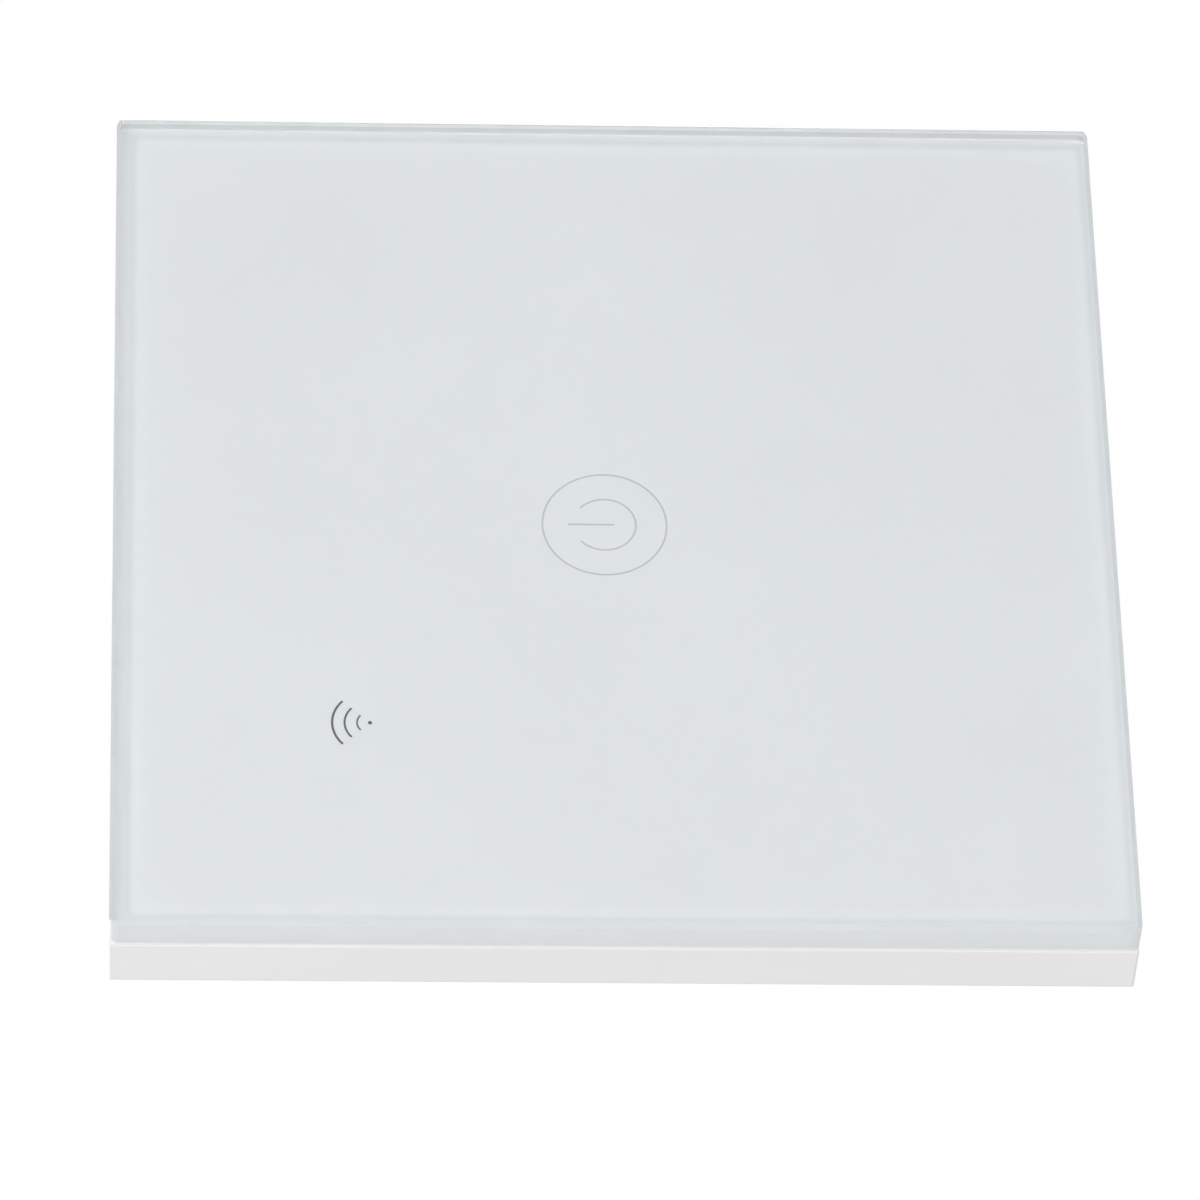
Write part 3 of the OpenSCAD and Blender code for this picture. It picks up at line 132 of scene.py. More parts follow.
# %% Lamps
def soft_lamp(name, at, size, power):
    lamp = bpy.data.lights.new(name, "AREA")
    lamp.shape = "DISK"
    lamp.size = size
    lamp.energy = power
    holder = add_object(name, lamp)
    holder.location = at
    holder.rotation_euler = (-Vector(at)).to_track_quat("-Z", "Y").to_euler()


soft_lamp("key_lamp", (-0.34, -0.80, 0.25), 0.6, 3.5)
soft_lamp("side_lamp", (-0.50, -0.12, 0.33), 0.4, 0.8)
soft_lamp("back_lamp", (0.45, 0.95, 0.65), 0.8, 7.0)

# %% [markdown]
# A finish is a small net of shader nodes. These helpers lay its usual threads: a place in the part's own
# space; a noise there, so that a grain has its true size in millimetres on every piece; a change of range; a
# run of shades; and a relief that bends the light. A bevel look-up in the relief softens the hard CAD edges.

# %% Shader helpers
def shader_tree(name):
    material = bpy.data.materials.new(name)
    material.use_nodes = True
    tree = material.node_tree
    return material, tree, tree.nodes["Principled BSDF"]


def axes(tree, source="Object"):
    """The X, Y and Z of the shaded place in the part's space, or of its normal."""
    given = tree.nodes.new("ShaderNodeTexCoord")
    split = tree.nodes.new("ShaderNodeSeparateXYZ")
    tree.links.new(given.outputs[source], split.inputs[0])
    return split.outputs


def noise(tree, size, detail=3.0, stretch=(1, 1, 1)):
    """A cloud whose blotches are about size millimetres across."""
    place = tree.nodes.new("ShaderNodeTexCoord")
    scale = tree.nodes.new("ShaderNodeMapping")
    scale.inputs["Scale"].default_value = stretch
    cloud = tree.nodes.new("ShaderNodeTexNoise")
    cloud.inputs["Scale"].default_value = 1 / (size * MM)
    cloud.inputs["Detail"].default_value = detail
    tree.links.new(place.outputs["Object"], scale.inputs["Vector"])
    tree.links.new(scale.outputs["Vector"], cloud.inputs["Vector"])
    return cloud.outputs[0]


def between(tree, value, low, high, start=0.3, end=0.7, course="LINEAR"):
    """Turns a value that runs from start to end into one that runs from low to high."""
    span = tree.nodes.new("ShaderNodeMapRange")
    span.interpolation_type = course
    for name, number in (("From Min", start), ("From Max", end), ("To Min", low), ("To Max", high)):
        span.inputs[name].default_value = number
    tree.links.new(value, span.inputs["Value"])
    return span.outputs["Result"]


def shades(tree, value, dark, light, low=0.35, high=0.65):
    ramp = tree.nodes.new("ShaderNodeValToRGB")
    for stop, place, colour in zip(ramp.color_ramp.elements, (low, high), (dark, light)):
        stop.position = place
        stop.color = (*colour, 1)
    tree.links.new(value, ramp.inputs["Fac"])
    return ramp.outputs["Color"]


def relief(tree, shader, height, depth, rounding=0.0):
    bump = tree.nodes.new("ShaderNodeBump")
    bump.inputs["Distance"].default_value = depth * MM
    tree.links.new(height, bump.inputs["Height"])
    if rounding:
        soft_edge = tree.nodes.new("ShaderNodeBevel")
        soft_edge.samples = 4
        soft_edge.inputs["Radius"].default_value = rounding * MM
        tree.links.new(soft_edge.outputs["Normal"], bump.inputs["Normal"])
    tree.links.new(bump.outputs["Normal"], shader.inputs["Normal"])


print("shader helpers ready")

# %% [markdown]
# The switch hangs on a wall, so it has no ground of its own. A pale round floor lies a little below it and
# catches its shadow. It fades out with distance, so it has no edge against the white, and it isn't there for
# a view from below.

# %% Floor
floor_drop = 0.20
floor_radius = 0.40
floor_full = 0.22
floor_colour = (0.86, 0.86, 0.86, 1)
floor_rough = 0.9


def fading_paint(name):
    material, tree, shader = shader_tree(name)
    shader.inputs["Base Color"].default_value = floor_colour
    shader.inputs["Roughness"].default_value = floor_rough
    place = tree.nodes.new("ShaderNodeTexCoord")
    reach = tree.nodes.new("ShaderNodeVectorMath")
    reach.operation = "LENGTH"
    tree.links.new(place.outputs["Object"], reach.inputs[0])
    fade = between(tree, reach.outputs["Value"], 0.0, 1.0, floor_full, floor_radius, "SMOOTHSTEP")
    underside = tree.nodes.new("ShaderNodeNewGeometry").outputs["Backfacing"]
    gone = math_node(tree, "MAXIMUM", fade, underside)
    clear = tree.nodes.new("ShaderNodeBsdfTransparent")
    blend = tree.nodes.new("ShaderNodeMixShader")
    for source, target in zip((gone, shader.outputs[0], clear.outputs[0]), blend.inputs):
        tree.links.new(source, target)
    tree.links.new(blend.outputs[0], tree.nodes["Material Output"].inputs["Surface"])
    return material


floor_mesh = bpy.data.meshes.new("floor")
disc = bmesh.new()
bmesh.ops.create_circle(disc, cap_ends=True, segments=96, radius=floor_radius)
disc.to_mesh(floor_mesh)
disc.free()
floor_mesh.materials.append(fading_paint("pale_floor"))
floor = add_object("floor", floor_mesh)
floor.location.z = -floor_drop
print("floor at", -floor_drop)

# %% [markdown]
# Real finishes are never one even colour. Each one starts from a Principled shader and gets a slow drift in
# tone over patches, a finer change in gloss and a grain. One function makes them all, so that a finish is
# one line of numbers: colour, roughness and drift, and then, in millimetres, the size of a patch, the size
# and depth of the grain and the rounding of the edges.

# %% Surface finish
gloss_change = 0.15


def tinted(colour, amount):
    return tuple(c * (1 + amount) for c in colour)


def finish(name, colour, rough, drift, patch, grain, depth, rounding=0.2, metal=0.0, stretch=(1, 1, 1),
           shine=0.5):
    """A solid finish: tone drifts over patches, gloss and relief follow a finer grain."""
    material, tree, shader = shader_tree(name)
    shader.inputs["Metallic"].default_value = metal
    shader.inputs["Specular IOR Level"].default_value = shine
    tone = shades(tree, noise(tree, patch), tinted(colour, -drift), tinted(colour, drift))
    tree.links.new(tone, shader.inputs["Base Color"])
    fine = noise(tree, grain, 4.0, stretch)
    glossy, dull = rough * (1 - gloss_change), min(1.0, rough * (1 + gloss_change))
    tree.links.new(between(tree, fine, glossy, dull), shader.inputs["Roughness"])
    relief(tree, shader, fine, depth, rounding)
    return material


print("finish ready")

# %% [markdown]
# The plastics are plain mouldings: white for what faces the room, coloured for the parts inside. The metals
# are stamped, drawn or plated; the grain of the spring steel is stretched one way, as rolling leaves it.
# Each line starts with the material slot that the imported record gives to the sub-parts of that finish.

# %% Plastics and metals
plastics = (
    ("tape", "foam_tape", (0.90, 0.90, 0.89), 0.9, 0.02, 2, 0.2, 0.03, 0),
    ("guide", "milky_diffuser", (0.86, 0.87, 0.88), 0.5, 0.01, 4, 0.3, 0.003),
    ("lamp", "lamp_resin", (0.90, 0.84, 0.52), 0.25, 0.06, 0.6, 0.1, 0.002, 0.08),
    ("black_plastic", "black_moulding", (0.022, 0.022, 0.024), 0.55, 0.15, 3, 0.15, 0.006, 0.1),
    ("ivory_plastic", "ivory_moulding", (0.76, 0.71, 0.58), 0.5, 0.04, 4, 0.3, 0.004),
    ("relay_blue", "blue_case", (0.020, 0.095, 0.30), 0.35, 0.06, 6, 0.3, 0.003),
    ("can_sleeve", "can_sleeve", (0.012, 0.018, 0.060), 0.3, 0.1, 4, 0.4, 0.004),
    ("film_yellow", "film_box", (0.70, 0.42, 0.025), 0.35, 0.05, 5, 0.3, 0.004),
    ("varistor_blue", "dipped_coating", (0.03, 0.12, 0.40), 0.3, 0.08, 2, 0.6, 0.02),
    ("fuse_brown", "fuse_cap", (0.10, 0.038, 0.018), 0.4, 0.08, 4, 0.3, 0.003),
    ("terminal_green", "green_moulding", (0.035, 0.26, 0.085), 0.45, 0.05, 4, 0.3, 0.005, 0.15),
    ("insulated_winding", "yellow_wrap", (0.74, 0.53, 0.05), 0.3, 0.05, 3, 0.3, 0.01),
    ("ferrite", "ferrite", (0.035, 0.034, 0.036), 0.6, 0.2, 1, 0.1, 0.01),
)
metals = (
    ("screw_steel", "zinc_plate", (0.58, 0.59, 0.60), 0.32, 0.10, 2, 0.2, 0.004, 0.08),
    ("clamp_steel", "clamp_steel", (0.62, 0.61, 0.58), 0.34, 0.10, 2, 0.2, 0.004, 0.08),
    ("iron", "nickel_iron", (0.42, 0.42, 0.43), 0.35, 0.10, 3, 0.3, 0.004, 0.08),
    ("gold_wire", "gold_wire", (0.80, 0.56, 0.22), 0.25, 0.06, 2, 0.2, 0.002, 0),
    ("contact_brass", "contact_brass", (0.66, 0.46, 0.17), 0.32, 0.08, 2, 0.3, 0.003, 0.06),
    ("copper", "enamelled_copper", (0.50, 0.17, 0.06), 0.3, 0.12, 1.2, 0.2, 0.003, 0),
)
finishes = {slot: finish(*numbers) for slot, *numbers in plastics}
finishes.update({slot: finish(*numbers, metal=1.0) for slot, *numbers in metals})
white = ((0.848, 0.838, 0.838), 0.55, 0.012, 30, 0.35, 0.004, 0.25)
steel = ((0.60, 0.61, 0.62), 0.28, 0.06, 4, 0.3, 0.003, 0.05)
finishes["white_plastic"] = finish("white_plastic", *white, shine=0.1)
finishes["spring_steel"] = finish("spring_steel", *steel, metal=1.0, stretch=(1, 1, 12))
print("plain finishes:", len(finishes))

# %% [markdown]
# A circuit board shows its copper through the solder mask. Around a touch key, the copper ground is laid as
# a fine net, because a full sheet would swallow the key's field. Two sets of slanting lines give that net:
# the shader folds the distance across each set, so that it is zero along every line. Lines are lighter than
# the gaps and stand a little proud. A disc at the key stays free of copper.

# %% Circuit boards
line_edge = (0.26, 0.34)
cloud_size, cloud_share = 6, 0.3
tone_range = (0.05, 0.95)
weave_size, weave_share = 0.4, 0.15
mask_rough = (0.30, 0.42)
mask_relief = 0.02


def board_finish(name, gap_colour, copper_colour, pitch, clear_radius=0.0):
    material, tree, shader = shader_tree(name)
    place = axes(tree)
    across, upward = place["X"], place["Z"]
    lines = []
    for slope in (-1, 1):
        slant = math_node(tree, "MULTIPLY_ADD", upward, slope, across)
        lines.append(math_node(tree, "PINGPONG", math_node(tree, "DIVIDE", slant, pitch * MM / 2), 1.0))
    net = between(tree, math_node(tree, "MINIMUM", *lines), 1.0, 0.0, *line_edge)
    if clear_radius:
        upward_square = math_node(tree, "MULTIPLY", upward, upward)
        square = math_node(tree, "MULTIPLY_ADD", across, across, upward_square)
        covered = math_node(tree, "GREATER_THAN", square, (clear_radius * MM) ** 2)
        net = math_node(tree, "MULTIPLY", net, covered)
    net_share = math_node(tree, "MULTIPLY", net, 1 - cloud_share)
    cloudy = math_node(tree, "MULTIPLY_ADD", noise(tree, cloud_size), cloud_share, net_share)
    tone = shades(tree, cloudy, gap_colour, copper_colour, *tone_range)
    tree.links.new(tone, shader.inputs["Base Color"])
    weave = noise(tree, weave_size, 2.0)
    tree.links.new(between(tree, weave, *mask_rough), shader.inputs["Roughness"])
    relief(tree, shader, math_node(tree, "MULTIPLY_ADD", weave, weave_share, net), mask_relief)
    return material


green_mask = ((0.008, 0.060, 0.032), (0.020, 0.135, 0.072))
blue_mask = ((0.006, 0.010, 0.045), (0.014, 0.024, 0.090))
touch_net, main_net, radio_net = 1.8, 2.5, 1.2
key_clear = 9.6
touch_board_green = board_finish("touch_board_green", *green_mask, touch_net, key_clear)
finishes["board_green"] = board_finish("green_board", *green_mask, main_net)
finishes["board_blue"] = board_finish("blue_board", *blue_mask, radio_net)
print("copper nets:", touch_net, main_net, radio_net, "mm")

# %% [markdown]
# The front is clear low-iron glass with its artwork printed on the back, so one looks through three
# millimetres of glass at white ink. The flat faces are polished. The sides, the bevel at the front and the
# seam at the back are ground to a satin, which catches the light as a soft grey band: each has a colour, a
# share of light let through and a roughness. Where the sides are seen from inside the glass, they get painted
# light that makes them bright, and a thin line of painted shade near the back. The faint sea-green tint comes
# from absorption.

# %% Glass
ground_side = ((0.775, 0.795, 0.805), 0.3, 0.6)
ground_bevel = ((0.72, 0.75, 0.76), 0.6, 0.6)
ground_seam = ((1.0, 1.0, 1.0), 0.0, 0.6)
# Painted light and shade: the sides seen from inside the glass are painted brighter, and a thin line of
# painted shade runs along them near the back.
painted_inside_light = (0.99, 1.0, 1.0)
painted_shade_line_colour = (0.80, 0.81, 0.82)
flat_lean, side_lean = 0.95, 0.2
polish_patch, polish_rough = 30, (0.0, 0.01)
glass_index = 1.52
glass_tint, glass_density = (0.62, 0.93, 0.92, 1), 4.0
glass_low, glass_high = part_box("glass_panel")
glass_middle = (glass_low.y + glass_high.y) / 2
shade_line_depth = glass_high.y - 0.85 * MM
shade_line_half = 0.5 * MM


def painted(tree, under, region, over):
    """Lays a colour over another one where region is 1."""
    mix = tree.nodes.new("ShaderNodeMix")
    mix.data_type = "RGBA"
    tree.links.new(region, mix.inputs["Factor"])
    sockets = [socket for socket in mix.inputs if socket.type == "RGBA"]
    for socket, colour in zip(sockets, (under, over)):
        if isinstance(colour, tuple):
            socket.default_value = (*colour, 1)
        else:
            tree.links.new(colour, socket)
    return next(socket for socket in mix.outputs if socket.type == "RGBA")


def printed_glass(name):
    material, tree, shader = shader_tree(name)
    shader.inputs["IOR"].default_value = glass_index
    lean = math_node(tree, "ABSOLUTE", axes(tree, "Normal")["Y"])
    depth = axes(tree)["Y"]
    edge = math_node(tree, "LESS_THAN", lean, flat_lean)
    slant = math_node(tree, "MULTIPLY", edge, math_node(tree, "GREATER_THAN", lean, side_lean))
    front = math_node(tree, "LESS_THAN", depth, glass_middle)
    side = math_node(tree, "SUBTRACT", edge, slant)
    bevel = math_node(tree, "MULTIPLY", slant, front)
    seam = math_node(tree, "SUBTRACT", slant, bevel)
    colour = (1.0, 1.0, 1.0)
    clear = 1.0
    rough = between(tree, noise(tree, polish_patch), *polish_rough)
    for region, ground in ((side, ground_side), (bevel, ground_bevel), (seam, ground_seam)):
        ground_colour, ground_clear, ground_rough = ground
        colour = painted(tree, colour, region, ground_colour)
        clear = math_node(tree, "MULTIPLY_ADD", region, ground_clear - 1, clear)
        rough = math_node(tree, "MULTIPLY_ADD", region, ground_rough, rough)
    # Painted light brightens the sides seen from inside, and painted shade darkens a thin line on them near
    # the back.
    from_within = tree.nodes.new("ShaderNodeNewGeometry").outputs["Backfacing"]
    inside = math_node(tree, "MULTIPLY", side, from_within)
    shade_line_mask = math_node(tree, "COMPARE", depth, shade_line_depth, shade_line_half)
    colour = painted(tree, colour, inside, painted_inside_light)
    colour = painted(tree, colour, math_node(tree, "MULTIPLY", inside, shade_line_mask), painted_shade_line_colour)
    tree.links.new(colour, shader.inputs["Base Color"])
    tree.links.new(clear, shader.inputs["Transmission Weight"])
    tree.links.new(rough, shader.inputs["Roughness"])
    tint = tree.nodes.new("ShaderNodeVolumeAbsorption")
    tint.inputs["Color"].default_value = glass_tint
    tint.inputs["Density"].default_value = glass_density
    tree.links.new(tint.outputs[0], tree.nodes["Material Output"].inputs["Volume"])
    return material


finishes["glass"] = printed_glass("printed_glass")
print("glass:", round((glass_high.y - glass_low.y) / MM, 2), "mm thick")

# %% [markdown]
# Near the ground edges the ink gets painted light, which stands for the light that enters there, and it is
# painted brightest right at the rim. About a millimetre in, a thin grey line runs round it. These tones are
# centred a little off the middle of the glass and reach a little further in at the left and right than at the
# top and bottom. The white ink gets them from its distance to that middle, through a run of colours: each
# stop has an inset from the edge, a colour and the share with which it covers the plain ink. The signs have
# two greys of their own.

# %% Ink
white_tone = (0.925, 0.945, 0.97)
painted_glow_tone = (0.955, 0.975, 0.99)
line_tone = (0.875, 0.895, 0.915)
# Painted light: these stops brighten the ink towards the rim, and the grey line sits about a millimetre in.
rim_glow_stops = ((3.4, white_tone, 0.0), (2.1, painted_glow_tone, 1.0), (1.6, painted_glow_tone, 1.0),
             (1.05, line_tone, 1.0), (0.5, (0.94, 0.96, 0.98), 1.0), (-0.1, (0.99, 1.0, 1.0), 1.0))
rim_middle = (0.49, -0.45)
rim_extra = (0.30, 0.0)
rim_corner = 0.8
glass_half = glass_high.x / MM


def paint_rim_glow(material):
    """Paints light into the white coat near the rim, and a thin grey line about a millimetre in."""
    tree = material.node_tree
    coat_colour = tree.nodes["Principled BSDF"].inputs["Base Color"]
    place = axes(tree)
    ways = []
    for axis, start, extra in zip("XZ", rim_middle, rim_extra):
        way = math_node(tree, "ABSOLUTE", math_node(tree, "SUBTRACT", place[axis], start * MM))
        ways.append(math_node(tree, "ADD", way, extra * MM))
    reach = math_node(tree, "SMOOTH_MAX", *ways, rim_corner * MM)
    first, last = rim_glow_stops[0][0], rim_glow_stops[-1][0]
    share = between(tree, reach, 0.0, 1.0, (glass_half - first) * MM, (glass_half - last) * MM)
    ramp = tree.nodes.new("ShaderNodeValToRGB")
    tree.links.new(share, ramp.inputs["Fac"])
    stops = ramp.color_ramp.elements
    stops.remove(stops[1])
    for k, (inset, colour, cover) in enumerate(rim_glow_stops):
        stop = stops.new((first - inset) / (first - last)) if k else stops[0]
        stop.color = (*colour, cover)
    plain = coat_colour.links[0].from_socket
    tree.links.new(painted(tree, plain, ramp.outputs["Alpha"], ramp.outputs["Color"]), coat_colour)


finishes["white_print"] = finish("white_ink", white_tone, 0.6, 0.008, 20, 0.2, 0.001, 0)
paint_rim_glow(finishes["white_print"])
pale_ink = finish("pale_grey_ink", (0.63, 0.64, 0.65), 0.6, 0.02, 4, 0.2, 0.001, 0)
dark_ink = finish("dark_grey_ink", (0.10, 0.105, 0.11), 0.6, 0.05, 4, 0.2, 0.001, 0)
print("tones at the rim:", len(rim_glow_stops))

# %% [markdown]
# Every solid already carries the name of its finish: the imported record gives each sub-part a material slot.
# So the dressing is one loop, and a new finish is tried by changing one line above. The touch board has a
# finish of its own, because only its copper keeps clear of the key.

# %% Dress the solids
node_slot = {part["node"]: part["material_slot"] for part in frame["record"]["subparts"]}
own_finish = {"touch_board": touch_board_green}
for name, solid in nodes.items():
    for place in solid.material_slots:
        place.material = own_finish.get(name, finishes[node_slot[name]])
print("dressed solids:", len(node_slot))

# %% [markdown]
# The pieces that follow are drawn in millimetres to the right, up, and out of the wall, as on the drawing of
# the part. One helper turns such a place into the part's frame, others ask a solid for its heights, middle
# and size, and one turns a finished form into a piece that moves with a body. A piece has the finish of its
# slot, unless it gets one of its own.

# %% Placing helpers
smooth_below = math.radians(40)


def spot(x, up, out):
    """Millimetres to the right, up and out of the wall, as a point in the part's frame."""
    return Vector((x, -out, up)) * MM


def at_turn(centre, reach, turn):
    """The point that lies reach from centre, in degrees from the right towards up."""
    a = math.radians(turn)
    return centre[0] + reach * math.cos(a), centre[1] + reach * math.sin(a)


def heights(node):
    """How far a solid reaches out of the wall: its back and its front, in millimetres."""
    low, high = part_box(node)
    return -high.y / MM, -low.y / MM


def middle(node):
    """The middle of a solid, to the right and up, in millimetres."""
    low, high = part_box(node)
    return (low.x + high.x) / 2 / MM, (low.z + high.z) / 2 / MM


def face_size(node):
    """The width and the height of a solid as seen from the room, in millimetres."""
    low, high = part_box(node)
    return (high.x - low.x) / MM, (high.z - low.z) / MM


def add_piece(name, bm, slot, material=None, body="base"):
    """Turns a finished form into a piece that moves with a body. Shallow corners shade smoothly."""
    bmesh.ops.recalc_face_normals(bm, faces=bm.faces)
    mesh = bpy.data.meshes.new(name)
    bm.to_mesh(mesh)
    bm.free()
    mesh.shade_smooth()
    mesh.set_sharp_from_angle(angle=smooth_below)
    mesh.materials.append(material or finishes[slot])
    piece = add_object(name, mesh)
    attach(piece, body)
    return piece


print("touch board from", [round(v, 2) for v in heights("touch_board")], "mm")

# %% [markdown]
# The artwork is thin ink between the glass and the white coat. Each stroke is built as a closed band that
# lies just inside the back of the glass, because ink bonded to glass has no air behind it. The same helpers
# draw the legend and the tracks on the boards, and raise the moulded marks. All of them only lay out rows of
# points: one function joins the rows by faces, so that every piece is a closed body.

# %% Stroke helpers
def bridge(bm, here, there):
    """Joins two rings of points by a band of faces."""
    for i in range(len(here)):
        j = (i + 1) % len(here)
        bm.faces.new((here[i], here[j], there[j], there[i]))


def skin(bm, rows, closed=False):
    """Joins rows of points into a tube, and either closes it on itself or caps both ends."""
    rings = [[bm.verts.new(point) for point in row] for row in rows]
    for here, there in zip(rings, rings[1:]):
        bridge(bm, here, there)
    if closed:
        bridge(bm, rings[-1], rings[0])
    else:
        bm.faces.new(rings[0])
        bm.faces.new(rings[-1])


def band(inner, outer, low, high):
    """The four corners of a flat band's section, as pairs of a distance and a height."""
    return (inner, low), (outer, low), (outer, high), (inner, high)


def arc(bm, centre, radius, width, start, end, low, high, steps=64):
    """A stroke along an arc, in degrees from straight up towards the right, between two heights."""
    closed = end - start >= 360
    section = band(radius - width / 2, radius + width / 2, low, high)
    rows = []
    for i in range(steps if closed else steps + 1):
        turn = 90 - start - (end - start) * i / steps
        rows.append([spot(*at_turn(centre, reach, turn), out) for reach, out in section])
    skin(bm, rows, closed)


def stroke(bm, points, width, low, high):
    """A stroke along a run of points, with square ends."""
    section = band(-1, 1, low, high)
    rows = []
    for i, point in enumerate(points):
        before, after = points[max(i - 1, 0)], points[min(i + 1, len(points) - 1)]
        along = Vector((after[0] - before[0], after[1] - before[1])).normalized()
        side = Vector((along.y, -along.x)) * width / 2
        rows.append([spot(point[0] + s * side.x, point[1] + s * side.y, out) for s, out in section])
    skin(bm, rows)


def prism(bm, outline, low, high):
    """A plate with any outline, between two heights."""
    skin(bm, [[spot(x, y, out) for x, y in outline] for out in (low, high)])


def round_square(width, height, corner, centre=(0, 0), steps=8):
    """The outline of a rectangle with round corners."""
    outline = []
    for quarter, (sx, sy) in enumerate(((1, 1), (-1, 1), (-1, -1), (1, -1))):
        hub = (centre[0] + sx * (width / 2 - corner), centre[1] + sy * (height / 2 - corner))
        outline += [at_turn(hub, corner, 90 * (quarter + i / steps)) for i in range(steps + 1)]
    return outline


print("stroke helpers ready")

# %% [markdown]
# The white coat is screen printed on the back of the glass and covers all of it but a hair at the rim. It
# replaces the thin print of the solids, and reaches two hundredths of a millimetre into the glass.

# %% White coat
print_low, print_high = heights("glass_print")
print_width = face_size("glass_print")[0]
print_corner = 0.45
coat_back = print_low + 0.01
ink_front = print_high + 0.02
ink_step = 0.006

coat = bmesh.new()
prism(coat, round_square(print_width, print_width, print_corner), coat_back, ink_front)
white_coat = add_piece("white_coat", coat, "white_print", body="front panel")
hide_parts("glass_print")
print("white coat:", round(print_width, 2), "mm wide")

# %% [markdown]
# The touch key is marked by a power sign in a thin ring, and a small signal sign shows that the switch has a
# radio. Both are common signs. No stroke is wider than a fifth of a millimetre.

# %% Signs on the glass
key_centre = (-0.11, 0.84)
ring_radius = 5.34
thin_line = 0.15
power_radius = 2.70
power_gap = 41.0
power_bar = (3.10, -0.86)
signal_dot = (-21.20, 21.16)
signal_radii = (1.10, 2.15, 3.20)
signal_half = 44
signal_lines = (0.15, 0.18, 0.20)
dot_radius = 0.18
ink_layer = (ink_front, ink_front + ink_step)

ring = bmesh.new()
arc(ring, key_centre, ring_radius, thin_line, 0, 360, *ink_layer, 128)
add_piece("key_ring", ring, "white_print", pale_ink, "front panel")

power = bmesh.new()
arc(power, key_centre, power_radius, thin_line, power_gap, 360 - power_gap, *ink_layer, 96)
bar_ends = [(key_centre[0], key_centre[1] + rise) for rise in power_bar]
stroke(power, bar_ends, thin_line, *ink_layer)
add_piece("power_sign", power, "white_print", pale_ink, "front panel")

signal = bmesh.new()
for radius, line in zip(signal_radii, signal_lines):
    arc(signal, signal_dot, radius, line, -signal_half, signal_half, *ink_layer, 32)
arc(signal, signal_dot, dot_radius / 2, dot_radius, 0, 360, *ink_layer, 24)
add_piece("signal_sign", signal, "white_print", dark_ink, "front panel")
print("key ring:", 2 * ring_radius, "mm across")

# %% [markdown]
# Wire is a round section carried along a path. A bevelled curve could do this, but a tube built point by
# point keeps tight bends round and gives one clean closed mesh. At each point the section is turned as
# little as possible, so that the tube doesn't twist.

# %% Wire
def wire_along(bm, path, radius, sides=12):
    """A round wire through a run of points, with flat ends."""
    ahead = [(after - point).normalized() for point, after in zip(path, path[1:])]
    side = ahead[0].orthogonal().normalized()
    angles = [2 * math.pi * k / sides for k in range(sides)]
    rows = []
    for i, point in enumerate(path):
        along = (ahead[max(i - 1, 0)] + ahead[min(i, len(ahead) - 1)]).normalized()
        side = (side - along * side.dot(along)).normalized()
        other = along.cross(side)
        rows.append([point + radius * (math.cos(a) * side + math.sin(a) * other) for a in angles])
    skin(bm, rows)


print("wire ready")

# %% [markdown]
# Behind the glass, the key is sensed by a coil of gold-plated wire. It stands on the touch board, winds
# outwards and presses its end against the print. The path is that of the solid which it replaces: a short
# foot, a tight bend, two widening turns, a bend and a short end. Each turn has seven times as many points.

# %% Touch coil
coil_wire = 0.5
coil_radius = 6.6
coil_turns = 2
coil_step = 1.05
coil_bend = 0.35
coil_ring = 56
bend_points = 6

board_front = heights("touch_board")[1]
foot_top = board_front + coil_wire
winding_start = foot_top + coil_bend
winding_rise = print_low - board_front - 2 * (coil_wire + coil_bend)
winding_points = coil_turns * coil_ring
phase = math.degrees(math.atan2(coil_bend, coil_radius))
bends = [math.radians(90 * k / bend_points) for k in range(1, bend_points + 1)]

coil_path = [(coil_radius, 0, board_front), (coil_radius, 0, foot_top)]
for b in bends[:-1]:
    coil_path.append((coil_radius, coil_bend * (1 - math.cos(b)), foot_top + coil_bend * math.sin(b)))
for i in range(winding_points + 1):
    turn = phase + 360 * i / coil_ring
    place = at_turn((0, 0), coil_radius + coil_step * i / coil_ring, turn)
    coil_path.append((*place, winding_start + winding_rise * i / winding_points))
winding_end = coil_path[-1][2]
for b in bends:
    onward = at_turn(place, coil_bend * math.sin(b), turn + 90)
    coil_path.append((*onward, winding_end + coil_bend * (1 - math.cos(b))))
coil_path.append((*onward, print_low))

coil = bmesh.new()
wire_along(coil, [spot(*point) for point in coil_path], coil_wire / 2 * MM)
touch_coil = add_piece("touch_coil", coil, "gold_wire")
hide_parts("touch_spring")
print("touch coil:", len(coil_path), "points along the wire")

# %% [markdown]
# The relay and the choke are wound with enamelled wire, turn beside turn. Each winding is one long wire on a
# sleeve, so that the turns show as real ridges and nothing shines through between them.

# %% Wound coils
sleeve_depth = 0.7
relay_wire, relay_bore = 0.30, 2.5
choke_wire, choke_bore = 0.36, 1.33


def turned(bm, centre, profile, steps=48, closed=False):
    """A turned form about an axis that leaves the wall, through pairs of a radius and a height."""
    turns = [360 * k / steps for k in range(steps)]
    rows = [[spot(*at_turn(centre, radius, turn), out) for turn in turns] for radius, out in profile]
    skin(bm, rows, closed)


def helix(centre, radius, low, high, turns, per_turn=24):
    count = turns * per_turn
    rise = (high - low) / count
    return [spot(*at_turn(centre, radius, 360 * i / per_turn), low + rise * i) for i in range(count + 1)]


def wound_coil(name, node, wire, bore):
    low, high = heights(node)
    radius = face_size(node)[0] / 2
    turns = math.floor((high - low) / wire) - 1
    sleeve = radius - sleeve_depth * wire
    bm = bmesh.new()
    turned(bm, middle(node), band(bore, sleeve, low, high), closed=True)
    start = low + (high - low - turns * wire) / 2
    path = helix(middle(node), radius - wire / 2, start, start + turns * wire, turns)
    wire_along(bm, path, wire / 2 * MM, 8)
    piece = add_piece(name, bm, "copper")
    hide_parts(node)
    print(name, "turns:", turns)


wound_coil("relay_coil_wire", "relay_winding", relay_wire, relay_bore)
wound_coil("choke_wire", "choke_winding", choke_wire, choke_bore)

